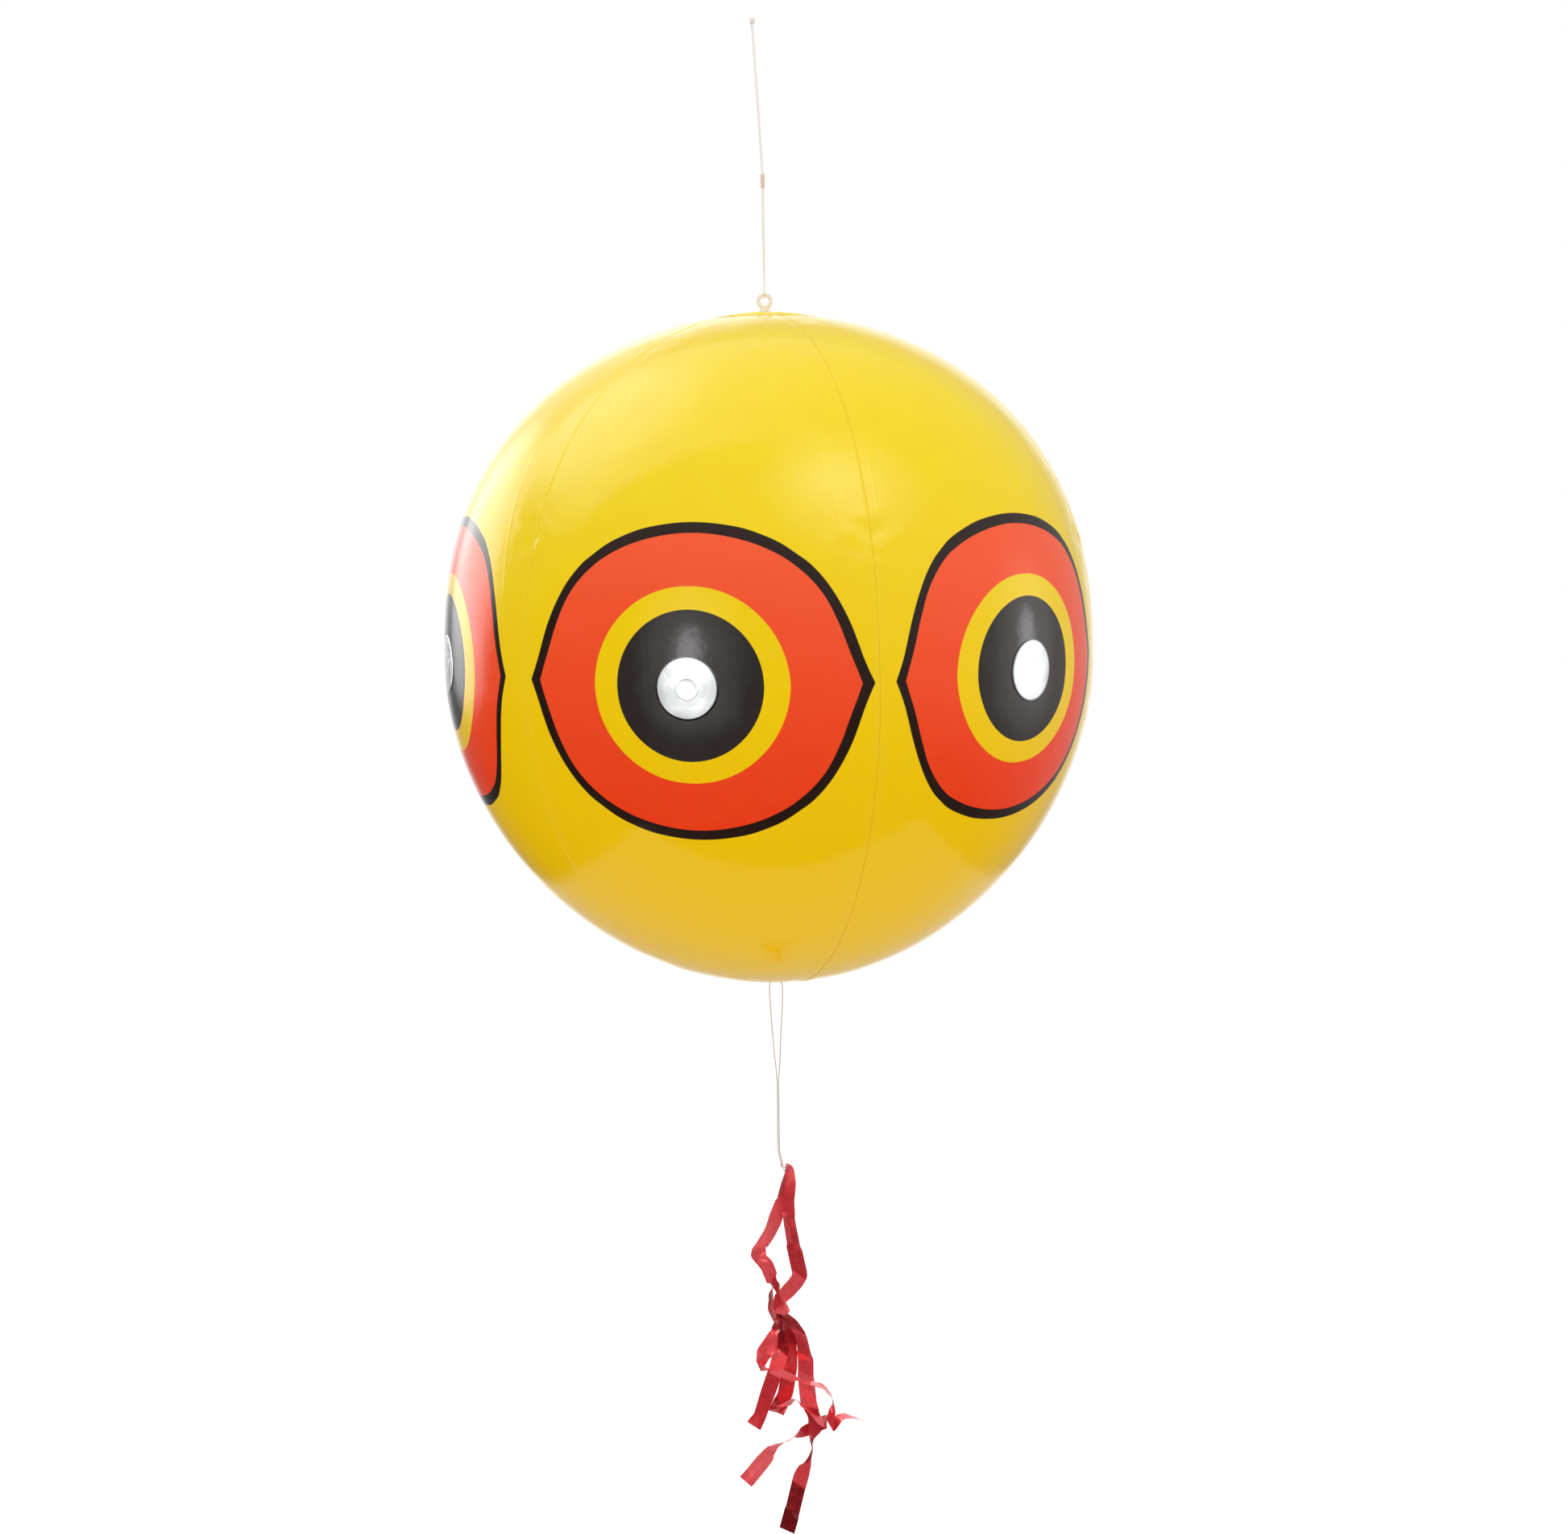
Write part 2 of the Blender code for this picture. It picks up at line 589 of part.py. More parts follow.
# Ribbon routes. Each row is a place on the ribbon: across and down as shares of ribbon_drop,
# depth as a share of ribbon_width (towards -Y is minus), the width's lie in the XZ plane and
# its turn out of that plane in degrees, and the width as a share of ribbon_width.
long_ribbon_shares = (
    (0.205, 0.680, -0.95, -100, -80, 1.0), (0.180, 0.669, -0.95, -90, -74, 1.0),
    (0.155, 0.664, -0.95, -80, -62, 1.0), (0.131, 0.682, -0.97, -80, -45, 1.0),
    (0.116, 0.686, -0.97, -49, -40, 1.0), (0.116, 0.686, -1.05, -49, -40, 1.0),
    (0.121, 0.668, -1.07, -9, -62, 1.0), (0.129, 0.640, -1.05, 0, -65, 1.0),
    (0.125, 0.609, -1.05, 30, -65, 1.0), (0.105, 0.586, -1.05, 60, -76, 1.0),
    (0.077, 0.570, -1.05, 75, -86, 1.0), (0.038, 0.557, -1.05, 80, -86, 1.0),
    (-0.003, 0.546, -1.05, 85, -84, 1.0), (-0.040, 0.538, -1.05, 80, -66, 1.0),
    (-0.066, 0.527, -0.94, 108, -22, 1.0), (-0.066, 0.526, -0.83, 108, -22, 1.0),
    (-0.049, 0.495, -0.65, 137, 0, 1.0),
    (-0.026, 0.466, -0.55, 138, 10, 1.0), (-0.013, 0.438, -0.35, 140, 60, 0.8),
    (-0.006, 0.404, 0.00, 150, 90, 0.4), (-0.006, 0.373, 0.00, 180, 90, 0.4),
    (-0.006, 0.347, 0.00, 180, 90, 0.4), (-0.018, 0.308, -0.20, -150, 65, 0.8),
    (-0.035, 0.268, -0.10, -145, 60, 1.0), (-0.058, 0.243, 0.05, -86, 45, 1.0),
    (-0.046, 0.222, 0.10, -35, 48, 1.0), (-0.029, 0.188, 0.10, -30, 50, 1.0),
    (-0.010, 0.140, 0.10, -22, 50, 1.0), (0.006, 0.099, 0.10, -10, 66, 1.0),
    (0.012, 0.052, 0.05, 0, 76, 0.7), (0.0155, 0.026, 0.00, 0, 90, 0.4),
    (0.0158, 0.008, 0.00, 0, 90, 0.4), (0.0195, 0.002, 0.00, 0, 90, 0.4),
    (0.0235, 0.002, 0.00, 0, 88, 0.4), (0.0270, 0.012, 0.00, 0, 82, 0.5),
    (0.0280, 0.054, -0.05, 0, 58, 0.9), (0.022, 0.096, -0.10, -10, 56, 1.0),
    (0.023, 0.142, -0.20, 0, 48, 1.0), (0.035, 0.213, -0.20, 0, 40, 1.0),
    (0.044, 0.267, -0.30, 0, 35, 1.0), (0.048, 0.293, -0.30, -10, 0, 1.0),
    (0.038, 0.318, -0.20, -31, 40, 1.0), (0.014, 0.337, 0.00, -30, 80, 0.5),
    (0.006, 0.354, 0.00, 0, 90, 0.4), (0.006, 0.373, 0.00, 0, 90, 0.4),
    (0.006, 0.400, 0.00, 0, 90, 0.4), (0.030, 0.425, 0.40, -20, 65, 0.8),
    (0.052, 0.465, 0.55, -20, 60, 1.0), (0.060, 0.538, 0.60, -10, 35, 1.0),
    (0.063, 0.599, 0.60, 0, 38, 1.0), (0.068, 0.659, 0.60, 0, 40, 1.0),
    (0.083, 0.699, 0.50, -20, 0, 1.0), (0.084, 0.736, 0.50, -10, 30, 1.0),
    (0.075, 0.769, 0.40, 25, 78, 1.0), (0.054, 0.807, 0.20, 27, 15, 1.0),
    (0.043, 0.849, 0.00, -11, 0, 1.0), (0.005, 0.996, 0.00, -11, 0, 1.0),
)
short_ribbon_shares = (
    (-0.075, 0.696, -0.30, -31, -10, 1.0), (-0.056, 0.662, -0.15, 13, 0, 1.0),
    (-0.032, 0.592, -0.15, -11, 0, 1.0), (-0.013, 0.538, -0.15, -13, 0, 1.0),
    (0.003, 0.480, -0.05, -10, -25, 1.0), (0.002, 0.432, 0.00, 0, -75, 0.6),
    (0.000, 0.404, 0.00, 0, -90, 0.4), (0.000, 0.373, 0.00, 0, -90, 0.4),
    (0.000, 0.343, 0.00, 0, -90, 0.4), (-0.013, 0.322, 0.50, 90, -80, 0.5),
    (-0.027, 0.342, 0.60, 180, -60, 1.0), (-0.029, 0.391, 0.60, 180, -60, 1.0),
    (-0.019, 0.422, 0.75, 215, -70, 1.0), (0.005, 0.452, 0.90, 225, -60, 1.0),
    (0.025, 0.488, 0.65, 205, -45, 1.0), (0.020, 0.554, 0.30, 180, -15, 1.0),
    (0.007, 0.620, 0.25, 170, -15, 1.0), (-0.010, 0.655, 0.20, 160, 0, 1.0),
    (-0.018, 0.670, 0.10, 146, 0, 1.0), (-0.018, 0.670, 0.00, 146, 0, 1.0),
    (0.002, 0.647, -0.30, 138, -40, 1.0), (0.030, 0.615, -0.45, 110, -65, 1.0),
    (0.054, 0.631, -0.45, 70, -75, 1.0), (0.080, 0.658, -0.45, 60, -60, 1.0),
    (0.098, 0.684, -0.20, 80, -20, 1.0), (0.113, 0.704, 0.45, 90, 0, 1.0),
    (0.093, 0.724, 1.15, 95, 0, 1.0), (0.057, 0.739, 1.05, 100, -20, 1.0),
    (0.017, 0.756, 0.60, 105, -65, 1.0), (-0.020, 0.765, 0.30, 120, -40, 1.0),
    (-0.058, 0.807, 0.10, 140, 0, 1.0), (-0.099, 0.856, 0.00, 140, 0, 1.0),
)


def ribbon(name, rows, body):
    """Flat strip of film through its route's places, bent and turned between them."""
    places, widths = [], []
    for across, down, depth, lie, turn, width in rows:
        place = Vector((axis_x + across * ribbon_drop, depth * ribbon_width, tail_end_z - down * ribbon_drop))
        lie, turn = math.radians(lie), math.radians(turn)
        flat = math.cos(turn) * Vector((math.cos(lie), 0, math.sin(lie)))
        places.append(place)
        widths.append((flat + Vector((0, math.sin(turn), 0))) * width * ribbon_width)
    centres, spans = [], []
    for i in range(len(places) - 1):
        for k in range(ribbon_steps):
            t = k / ribbon_steps
            span = widths[i].lerp(widths[i + 1], t)
            size = widths[i].length * (1 - t) + widths[i + 1].length * t
            centres.append(places[i].lerp(places[i + 1], t))
            spans.append(span.normalized() * size)
    centres.append(places[-1])
    spans.append(widths[-1])
    sections = []
    for i, (centre, span) in enumerate(zip(centres, spans)):
        along = centres[min(i + 1, len(centres) - 1)] - centres[max(i - 1, 0)]
        face = along.cross(span).normalized() * ribbon_film / 2
        half = span / 2
        sections.append([centre - half - face, centre + half - face, centre + half + face, centre - half + face])
    return piece(name, film_strip(sections), "red_foil", body)


def streamer_parts(body):
    """Tie below the tail knot, the two ribbons, and the band that gathers them."""
    string = tail_string / 2
    tie_z = tail_end_z - 2 * gap - 2 * tail_knot_radius - string
    gathered = gather_share * ribbon_width / 2
    tie_x = axis_x + long_ribbon_shares[tie_row][0] * ribbon_drop
    tie_section = [(string * (1 + math.cos(a)), string * math.sin(a))
                   for a in (math.pi * i / 3 for i in range(6))]
    wrap("streamer_tie", tie_section, ribbon_film / 2 + 2 * gap, gathered + gap, (tie_x, 0, tie_z),
         "thin_string", body)
    ribbon("long_ribbon", long_ribbon_shares, body)
    ribbon("short_ribbon", short_ribbon_shares, body)
    half = knot_height / 2
    band = [(0, half), (0, -half), (knot_film, -half * knot_flat_share), (knot_film, half * knot_flat_share)]
    wrap("streamer_knot", band, knot_pitch + ribbon_film / 2 + 2 * gap, gathered + gap,
         (axis_x, 0, tail_end_z - long_ribbon_shares[knot_row][1] * ribbon_drop), "red_foil", body)


def build():
    clear_scene()
    root = pivot("hanging_line_body", (0, 0, 0))
    loop_body = pivot("loop_twist_pivot", (axis_x, 0, loop_top_z), root)
    balloon = pivot("balloon_swing_pivot", (axis_x, 0, top_ring_z), loop_body)
    stem_z = base_face_z - gap - valve_flange
    stem_body = pivot("valve_stem_guide", (axis_x + valve_offset, 0, stem_z), balloon)
    plug_body = pivot("valve_plug_guide", (axis_x + valve_offset, 0, stem_z), stem_body)
    flap_z = stem_z - gap + stem_length + gap + flap_film / 2
    flap_body = pivot("valve_flap_pivot", (axis_x + valve_offset - flap_radius, 0, flap_z), stem_body)
    tail = pivot("tail_swing_pivot", (axis_x, 0, base_ring_z), balloon)
    streamer = pivot("streamer_swing_pivot", (axis_x + tail_end_offset, 0, tail_end_z), tail)

    hanging_line(root, loop_body)
    for i in range(gore_count):
        middle = front_gore_turn + 2 * math.pi * i / gore_count
        gore(f"gore_{i + 1}", middle, balloon)
        pupil_foil(f"pupil_foil_{i + 1}", middle, balloon)
    top_disc(balloon)
    bottom_disc(balloon)
    slope = (crown_pull - (crown_height * (profile_height(gore_end_radius, crown_power)
                                           - profile_height(disc_radius, crown_power)))) / gore_end_radius
    hang_tab("top_hang_tab", top_ring_z, top_ring_radius, top_hole_radius, top_neck_width,
             crown_apex_z - film - gap, slope, 0, balloon)
    hang_tab("bottom_hang_tab", base_ring_z, base_ring_radius, base_hole_radius, base_neck_width,
             base_end_z, 0, math.pi / 2, balloon)
    valve_parts(balloon, stem_body, plug_body, flap_body)
    tail_line(tail)
    streamer_parts(streamer)


build()
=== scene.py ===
"""Looks of an inflatable bird scare balloon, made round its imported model.

Metres, +Z up, and -Y is the side that the front eye faces. The sections follow the object
down from the cord that it hangs on, over the ball, to the streamer under it.
"""

import math

import bmesh
import bpy
import numpy as np
from mathutils import Matrix, Vector, noise


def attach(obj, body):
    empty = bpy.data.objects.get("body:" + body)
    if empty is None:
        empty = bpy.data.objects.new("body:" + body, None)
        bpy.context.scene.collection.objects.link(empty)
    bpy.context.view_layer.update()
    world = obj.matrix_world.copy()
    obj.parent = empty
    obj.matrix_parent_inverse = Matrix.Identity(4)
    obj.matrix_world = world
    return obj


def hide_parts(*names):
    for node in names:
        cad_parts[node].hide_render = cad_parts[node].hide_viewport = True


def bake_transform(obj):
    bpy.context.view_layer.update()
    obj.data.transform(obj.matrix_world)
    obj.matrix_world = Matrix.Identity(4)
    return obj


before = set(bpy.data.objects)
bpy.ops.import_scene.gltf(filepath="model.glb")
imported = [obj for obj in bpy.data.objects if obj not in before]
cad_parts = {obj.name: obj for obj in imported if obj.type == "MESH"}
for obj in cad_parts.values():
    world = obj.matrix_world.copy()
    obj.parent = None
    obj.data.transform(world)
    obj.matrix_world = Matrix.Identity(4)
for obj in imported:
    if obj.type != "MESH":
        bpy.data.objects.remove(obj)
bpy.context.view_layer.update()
bpy.context.scene.view_settings.view_transform = "Standard"


# Camera: 1.26 m from the front eye and 6 degrees above it, with a long lens, turned a little
# so that the line leans in the picture.
axis_x = 0.0046
eye_z = -0.37447
camera_distance = 1.26
camera_rise, camera_pitch, camera_yaw, camera_roll = map(math.radians, (6.0, 9.346, 0.335, 0.9))
focal_pixels = 2519
picture_pixels = 1946
sensor_width = 36


def placed(name, data):
    """New object in the scene."""
    made = bpy.data.objects.new(name, data)
    bpy.context.collection.objects.link(made)
    return made


view_line = Vector((math.sin(camera_yaw) * math.cos(camera_pitch),
                    math.cos(camera_yaw) * math.cos(camera_pitch), -math.sin(camera_pitch)))
level_right = view_line.cross(Vector((0, 0, 1))).normalized()
level_up = level_right.cross(view_line)
right = level_right * math.cos(camera_roll) - level_up * math.sin(camera_roll)
up = level_right * math.sin(camera_roll) + level_up * math.cos(camera_roll)
lens = bpy.data.cameras.new("camera")
lens.sensor_width = sensor_width
lens.lens = sensor_width * focal_pixels / picture_pixels
camera = placed("camera", lens)
camera.matrix_world = Matrix((right, up, -view_line)).transposed().to_4x4()
camera.location = (axis_x, -camera_distance * math.cos(camera_rise),
                   eye_z + camera_distance * math.sin(camera_rise))
bpy.context.scene.camera = camera


# Hanging cord: pale laid cord of three strands, 1.6 mm thick, with a knot at its top end. It
# goes up from the join knot to the hook or branch that holds it.
class Value:
    """What flows through a node tree. Reckoning with it adds Math nodes."""

    def __init__(self, tree, socket):
        self.tree, self.socket = tree, socket

    def __add__(self, other):
        return calc("ADD", self, other)

    def __sub__(self, other):
        return calc("SUBTRACT", self, other)

    def __rsub__(self, other):
        return calc("SUBTRACT", other, self)

    def __mul__(self, other):
        return calc("MULTIPLY", self, other)

    def __truediv__(self, other):
        return calc("DIVIDE", self, other)

    def __pow__(self, other):
        return calc("POWER", self, other)

    def __abs__(self):
        return calc("ABSOLUTE", self)

    __radd__, __rmul__ = __add__, __mul__


def feed(node, given):
    """Sets a node's sockets, by name or number, to plain values, or links them."""
    for key, value in (given.items() if isinstance(given, dict) else enumerate(given)):
        if isinstance(value, Value):
            node.id_data.links.new(value.socket, node.inputs[key])
        else:
            node.inputs[key].default_value = value


def put(tree, kind, given=(), **settings):
    """One node, with its own settings, and its sockets set or linked."""
    made = tree.nodes.new(kind)
    for key, value in settings.items():
        setattr(made, key, value)
    feed(made, given)
    return made


def take(tree, kind, given=(), output=0, **settings):
    """One output of a new node."""
    return Value(tree, put(tree, kind, given, **settings).outputs[output])


def outputs_of(tree, kind, given=(), **settings):
    """All outputs of a new node, by name."""
    return {socket.name: Value(tree, socket) for socket in put(tree, kind, given, **settings).outputs}


def calc(operation, *values, clamp=False):
    """Result of one Math node."""
    tree = next(value.tree for value in values if isinstance(value, Value))
    return take(tree, "ShaderNodeMath", values, operation=operation, use_clamp=clamp)


def parts_of(vector):
    """The x, y and z of a vector."""
    return list(outputs_of(vector.tree, "ShaderNodeSeparateXYZ", [vector]).values())


def new_group(name, kind, given, gives):
    """Node group with named inputs and outputs: its tree and the values that it is given."""
    tree = bpy.data.node_groups.new(name, kind)
    for way, sockets in (("INPUT", given), ("OUTPUT", gives)):
        for label, socket in sockets.items():
            tree.interface.new_socket(label, in_out=way, socket_type="NodeSocket" + socket)
    return tree, outputs_of(tree, "NodeGroupInput")


def close_tree(tree, shape, material):
    """Last nodes of a geometry tree: smooth shading, real instances, one material."""
    smooth = take(tree, "GeometryNodeSetShadeSmooth", {"Geometry": shape})
    real = take(tree, "GeometryNodeRealizeInstances", {"Geometry": smooth})
    last = take(tree, "GeometryNodeSetMaterial", {"Geometry": real, "Material": material})
    put(tree, "NodeGroupOutput", [last])


def mesh_object(name, points, faces=(), edges=()):
    mesh = bpy.data.meshes.new(name)
    mesh.from_pydata([tuple(p) for p in points], edges, faces)
    return placed(name, mesh)


def settle(made):
    """Turns an object with live modifiers into its plain mesh."""
    bpy.context.view_layer.update()
    shape = bpy.data.meshes.new_from_object(made.evaluated_get(bpy.context.evaluated_depsgraph_get()))
    made.modifiers.clear()
    made.data = shape
    shape.name = made.name
    shape.set_sharp_from_angle(angle=math.radians(60))
    return made


def grow(made, tree, sizes):
    """Runs a geometry tree with these sizes on an object and keeps its plain mesh."""
    change = made.modifiers.new(tree.name, "NODES")
    change.node_group = tree
    for socket in tree.interface.items_tree:
        if socket.in_out == "INPUT" and socket.name in sizes:
            change[socket.identifier] = sizes[socket.name]
    return settle(made)


def dress(made, body, node):
    """The piece moves with this body and stands for this node, whose imported part is hidden."""
    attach(made, body)
    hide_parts(node)


def make_laid_cord():
    """Tree that lays strands round a line, as a cord or string is laid."""
    tree, given = new_group("laid cord", "GeometryNodeTree", {
        "Geometry": "Geometry", "Strands": "Int", "Strand Radius": "Float", "Lay Radius": "Float",
        "Turns per Metre": "Float", "Spacing": "Float", "Material": "Material"}, {"Geometry": "Geometry"})

    def vectors(operation, given):
        return take(tree, "ShaderNodeVectorMath", given, operation=operation)

    line = take(tree, "GeometryNodeMeshToCurve", {"Mesh": given["Geometry"]})
    even = take(tree, "GeometryNodeResampleCurve", {"Curve": line, "Length": given["Spacing"]}, mode="LENGTH")
    copies = put(tree, "GeometryNodeDuplicateElements", {"Geometry": even, "Amount": given["Strands"]},
                 domain="SPLINE")
    along = take(tree, "GeometryNodeSplineParameter", output="Length")
    number = Value(tree, copies.outputs["Duplicate Index"])
    angle = (along * given["Turns per Metre"] + number / given["Strands"]) * (2 * math.pi)
    side = take(tree, "GeometryNodeInputNormal")
    other = vectors("CROSS_PRODUCT", [take(tree, "GeometryNodeInputTangent"), side])
    way = vectors("ADD", [vectors("SCALE", {0: side, "Scale": calc("COSINE", angle)}),
                          vectors("SCALE", {0: other, "Scale": calc("SINE", angle)})])
    strands = take(tree, "GeometryNodeSetPosition", {
        "Geometry": Value(tree, copies.outputs[0]),
        "Offset": vectors("SCALE", {0: way, "Scale": given["Lay Radius"]})})
    ring = take(tree, "GeometryNodeCurvePrimitiveCircle", {
        "Resolution": 10, "Radius": given["Strand Radius"]}, mode="RADIUS")
    tube = take(tree, "GeometryNodeCurveToMesh", {"Curve": strands, "Profile Curve": ring, "Fill Caps": True})
    close_tree(tree, tube, given["Material"])
    return tree


def run_along(line):
    """Distance along a line at each of its points."""
    return np.concatenate(([0], np.cumsum(np.linalg.norm(np.diff(line, axis=0), axis=1))))


def smooth_route(route, spacing):
    """Even points along a Catmull-Rom curve through the route's own points."""
    points = [Vector(p) for p in route]
    ends = [2 * points[0] - points[1]] + points + [2 * points[-1] - points[-2]]
    fine = []
    for a, b, c, d in zip(ends, ends[1:], ends[2:], ends[3:]):
        for i in range(24):
            t = i / 24
            fine.append(0.5 * (2 * b + (c - a) * t + (2 * a - 5 * b + 4 * c - d) * t ** 2
                               + (3 * b - a - 3 * c + d) * t ** 3))
    fine = np.array(fine + points[-1:])
    along = run_along(fine)
    goals = np.linspace(0, along[-1], max(2, round(along[-1] / spacing)) + 1)
    return [Vector(p) for p in np.stack([np.interp(goals, along, fine[:, k]) for k in range(3)], 1)]


def new_material(name):
    """Node material with its tree and its Principled shader."""
    made = bpy.data.materials.new(name)
    made.use_nodes = True
    return made, made.node_tree, made.node_tree.nodes["Principled BSDF"]


def grain(tree, place, scale, detail=2, roughness=0.5):
    """Noise at this place, 0 to 1."""
    return take(tree, "ShaderNodeTexNoise", {"Vector": place, "Scale": scale, "Detail": detail,
                                             "Roughness": roughness})


def object_noise(tree, scale, detail=2, roughness=0.5, stretch=(1, 1, 1)):
    """Noise over the piece's own place, 0 to 1. scale counts its grains in a metre."""
    place = take(tree, "ShaderNodeTexCoord", output="Object")
    laid = take(tree, "ShaderNodeMapping", {"Vector": place, "Scale": stretch})
    return grain(tree, laid, scale, detail, roughness)


def spread(value, low, high, start=0.0, stop=1.0, kind="LINEAR"):
    """Maps start to stop onto low to high."""
    return take(value.tree, "ShaderNodeMapRange", {
        "Value": value, "From Min": start, "From Max": stop, "To Min": low, "To Max": high},
        interpolation_type=kind)


def blend_colours(share, first, second):
    """Mixes two colours, from the first where the share is 0 to the second where it is 1."""
    first, second = (colour if isinstance(colour, Value) else (*colour, 1) for colour in (first, second))
    return take(share.tree, "ShaderNodeMix", {0: share, 6: first, 7: second}, output=2, data_type="RGBA")


def set_looks(shader, bump, distance, looks, strength=1.0):
    """Links a material's looks and its bump height, which is distance metres at 1."""
    bumped = take(shader.id_data, "ShaderNodeBump", {
        "Strength": strength, "Distance": distance, "Height": bump})
    feed(shader, {**looks, "Normal": bumped})


def place_group(tree, group, given):
    """Node group placed in a material with its own values: its outputs by name."""
    return outputs_of(tree, "ShaderNodeGroup", given, node_tree=group)


def make_twisted_yarn():
    """Group for twisted yarn: fine fibres that run with it, and a little soiling."""
    tree, given = new_group("twisted yarn", "ShaderNodeTree", {
        "Light": "Color", "Dark": "Color", "Soiling": "Float"},
        {"Color": "Color", "Roughness": "Float", "Height": "Float"})
    fibres = object_noise(tree, 9000, 3, 0.6, (1, 1, 0.12))
    soil = object_noise(tree, 90) * given["Soiling"]
    tone = calc("SUBTRACT", spread(fibres, 0.35, 1.15), soil, clamp=True)
    put(tree, "NodeGroupOutput", {"Color": blend_colours(tone, given["Dark"], given["Light"]),
                                  "Roughness": spread(fibres, 0.6, 0.85), "Height": fibres})
    return tree


twisted_yarn = make_twisted_yarn()


def string_finish(name, light, dark, soiling):
    """Twisted synthetic yarn with a soft sheen."""
    made, tree, shader = new_material(name)
    yarn = place_group(tree, twisted_yarn, {"Light": (*light, 1), "Dark": (*dark, 1), "Soiling": soiling})
    set_looks(shader, yarn["Height"], 0.00004, {
        "Base Color": yarn["Color"], "Roughness": yarn["Roughness"], "Sheen Weight": 0.3})
    return made


laid_cord = make_laid_cord()
strand_share = 0.30
cord_diameter = 0.0016
cord_yarn = string_finish("white_cord_yarn", (0.87, 0.82, 0.80), (0.80, 0.75, 0.72), 0.15)
cord_route = smooth_route([(0, 0, -0.0048), (0.00147, 0, -0.03015), (0.00306, 0, -0.05973),
                           (0.0046, 0, -0.0893)][::-1], 0.002)


def lay_string(name, routes, diameter, strands, pitch, material):
    """One piece of string or cord that follows one or more smooth routes."""
    points, edges = [], []
    for route in routes:
        edges += [(len(points) + i, len(points) + i + 1) for i in range(len(route) - 1)]
        points += route
    radius = diameter * strand_share
    return grow(mesh_object(name, points, edges=edges), laid_cord, {
        "Strands": strands, "Strand Radius": radius, "Lay Radius": diameter / 2 - radius,
        "Turns per Metre": 1 / pitch, "Spacing": max(pitch / 10, diameter / 6), "Material": material})


hanging_cord = lay_string("hanging_cord_laid", [cord_route], cord_diameter, 3, 0.0052, cord_yarn)
dress(hanging_cord, "hanging_line", "hanging_cord")


# End knot: the cord's top end, turned back twice round itself and drawn tight, so that its
# strands stay together.
def coil_route(centre, radius, top, bottom, turns):
    """Places round an upright coil from its top to its bottom."""
    count = round(16 * turns)
    step = 2 * math.pi * turns / count
    return [Vector((centre[0] + radius * math.cos(step * i), centre[1] + radius * math.sin(step * i),
                    top + (bottom - top) * i / count)) for i in range(count + 1)]


knot_core = smooth_route([
    (0, 0, -0.0048), (0, 0, -0.003), (0.0002, 0, -0.0014), (0.0008, 0.0003, -0.0008)], 0.0003)
end_knot = lay_string("end_knot_turns", [knot_core, coil_route((0, 0), 0.00118, -0.0009, -0.0042, 2.6)],
                      0.00125, 3, 0.004, cord_yarn)
dress(end_knot, "hanging_line", "end_knot")


# Join knot: the thin loop's string, wound nine times round the cord's lower end and drawn
# tight. It is more soiled than the loop itself.
join_top_z = -0.0896
join_bottom_z = -0.0989
loop_yarn = string_finish("thin_string_yarn", (0.89, 0.82, 0.76), (0.80, 0.70, 0.62), 0.25)
tail_yarn = string_finish("tail_string_yarn", (0.76, 0.66, 0.57), (0.52, 0.41, 0.33), 0.35)
join_yarn = string_finish("join_knot_yarn", (0.90, 0.78, 0.70), (0.86, 0.55, 0.47), 0.5)
join_core = [Vector((axis_x, 0, join_top_z + (join_bottom_z - join_top_z) * i / 8)) for i in range(9)]
join_coil = coil_route((axis_x, 0), 0.00098, join_top_z - 0.0005, join_bottom_z + 0.0006, 9)
join_knot = lay_string("join_knot_turns", [join_core, join_coil], 0.001, 2, 0.003, join_yarn)
dress(join_knot, "hanging_line", "join_knot")


# Eyelet loop: one thin string of two yarns, down through the top tab's eyelet and back up. Both
# its ends go into the join knot.
loop_string = 0.0008
loop_route = smooth_route([
    (0.00415, 0, -0.0992), (0.00418, -0.0001, -0.11607), (0.00426, -0.00041, -0.13425),
    (0.00442, -0.0009, -0.14723), (0.0046, -0.0016, -0.15501), (0.0046, -0.0017, -0.1583),
    (0.0046, -0.0017, -0.1599), (0.0046, -0.00119, -0.1621), (0.0046, 0, -0.1623),
    (0.0046, 0.00119, -0.1621), (0.0046, 0.0017, -0.1599), (0.0046, 0.0017, -0.1583),
    (0.0046, 0.0016, -0.15501), (0.00478, 0.0009, -0.14723), (0.00494, 0.00041, -0.13425),
    (0.00502, 0.0001, -0.11607), (0.00505, 0, -0.0992)], 0.0008)
eyelet_loop = lay_string("eyelet_loop_string", [loop_route], loop_string, 2, 0.003, loop_yarn)
dress(eyelet_loop, "loop", "eyelet_loop")


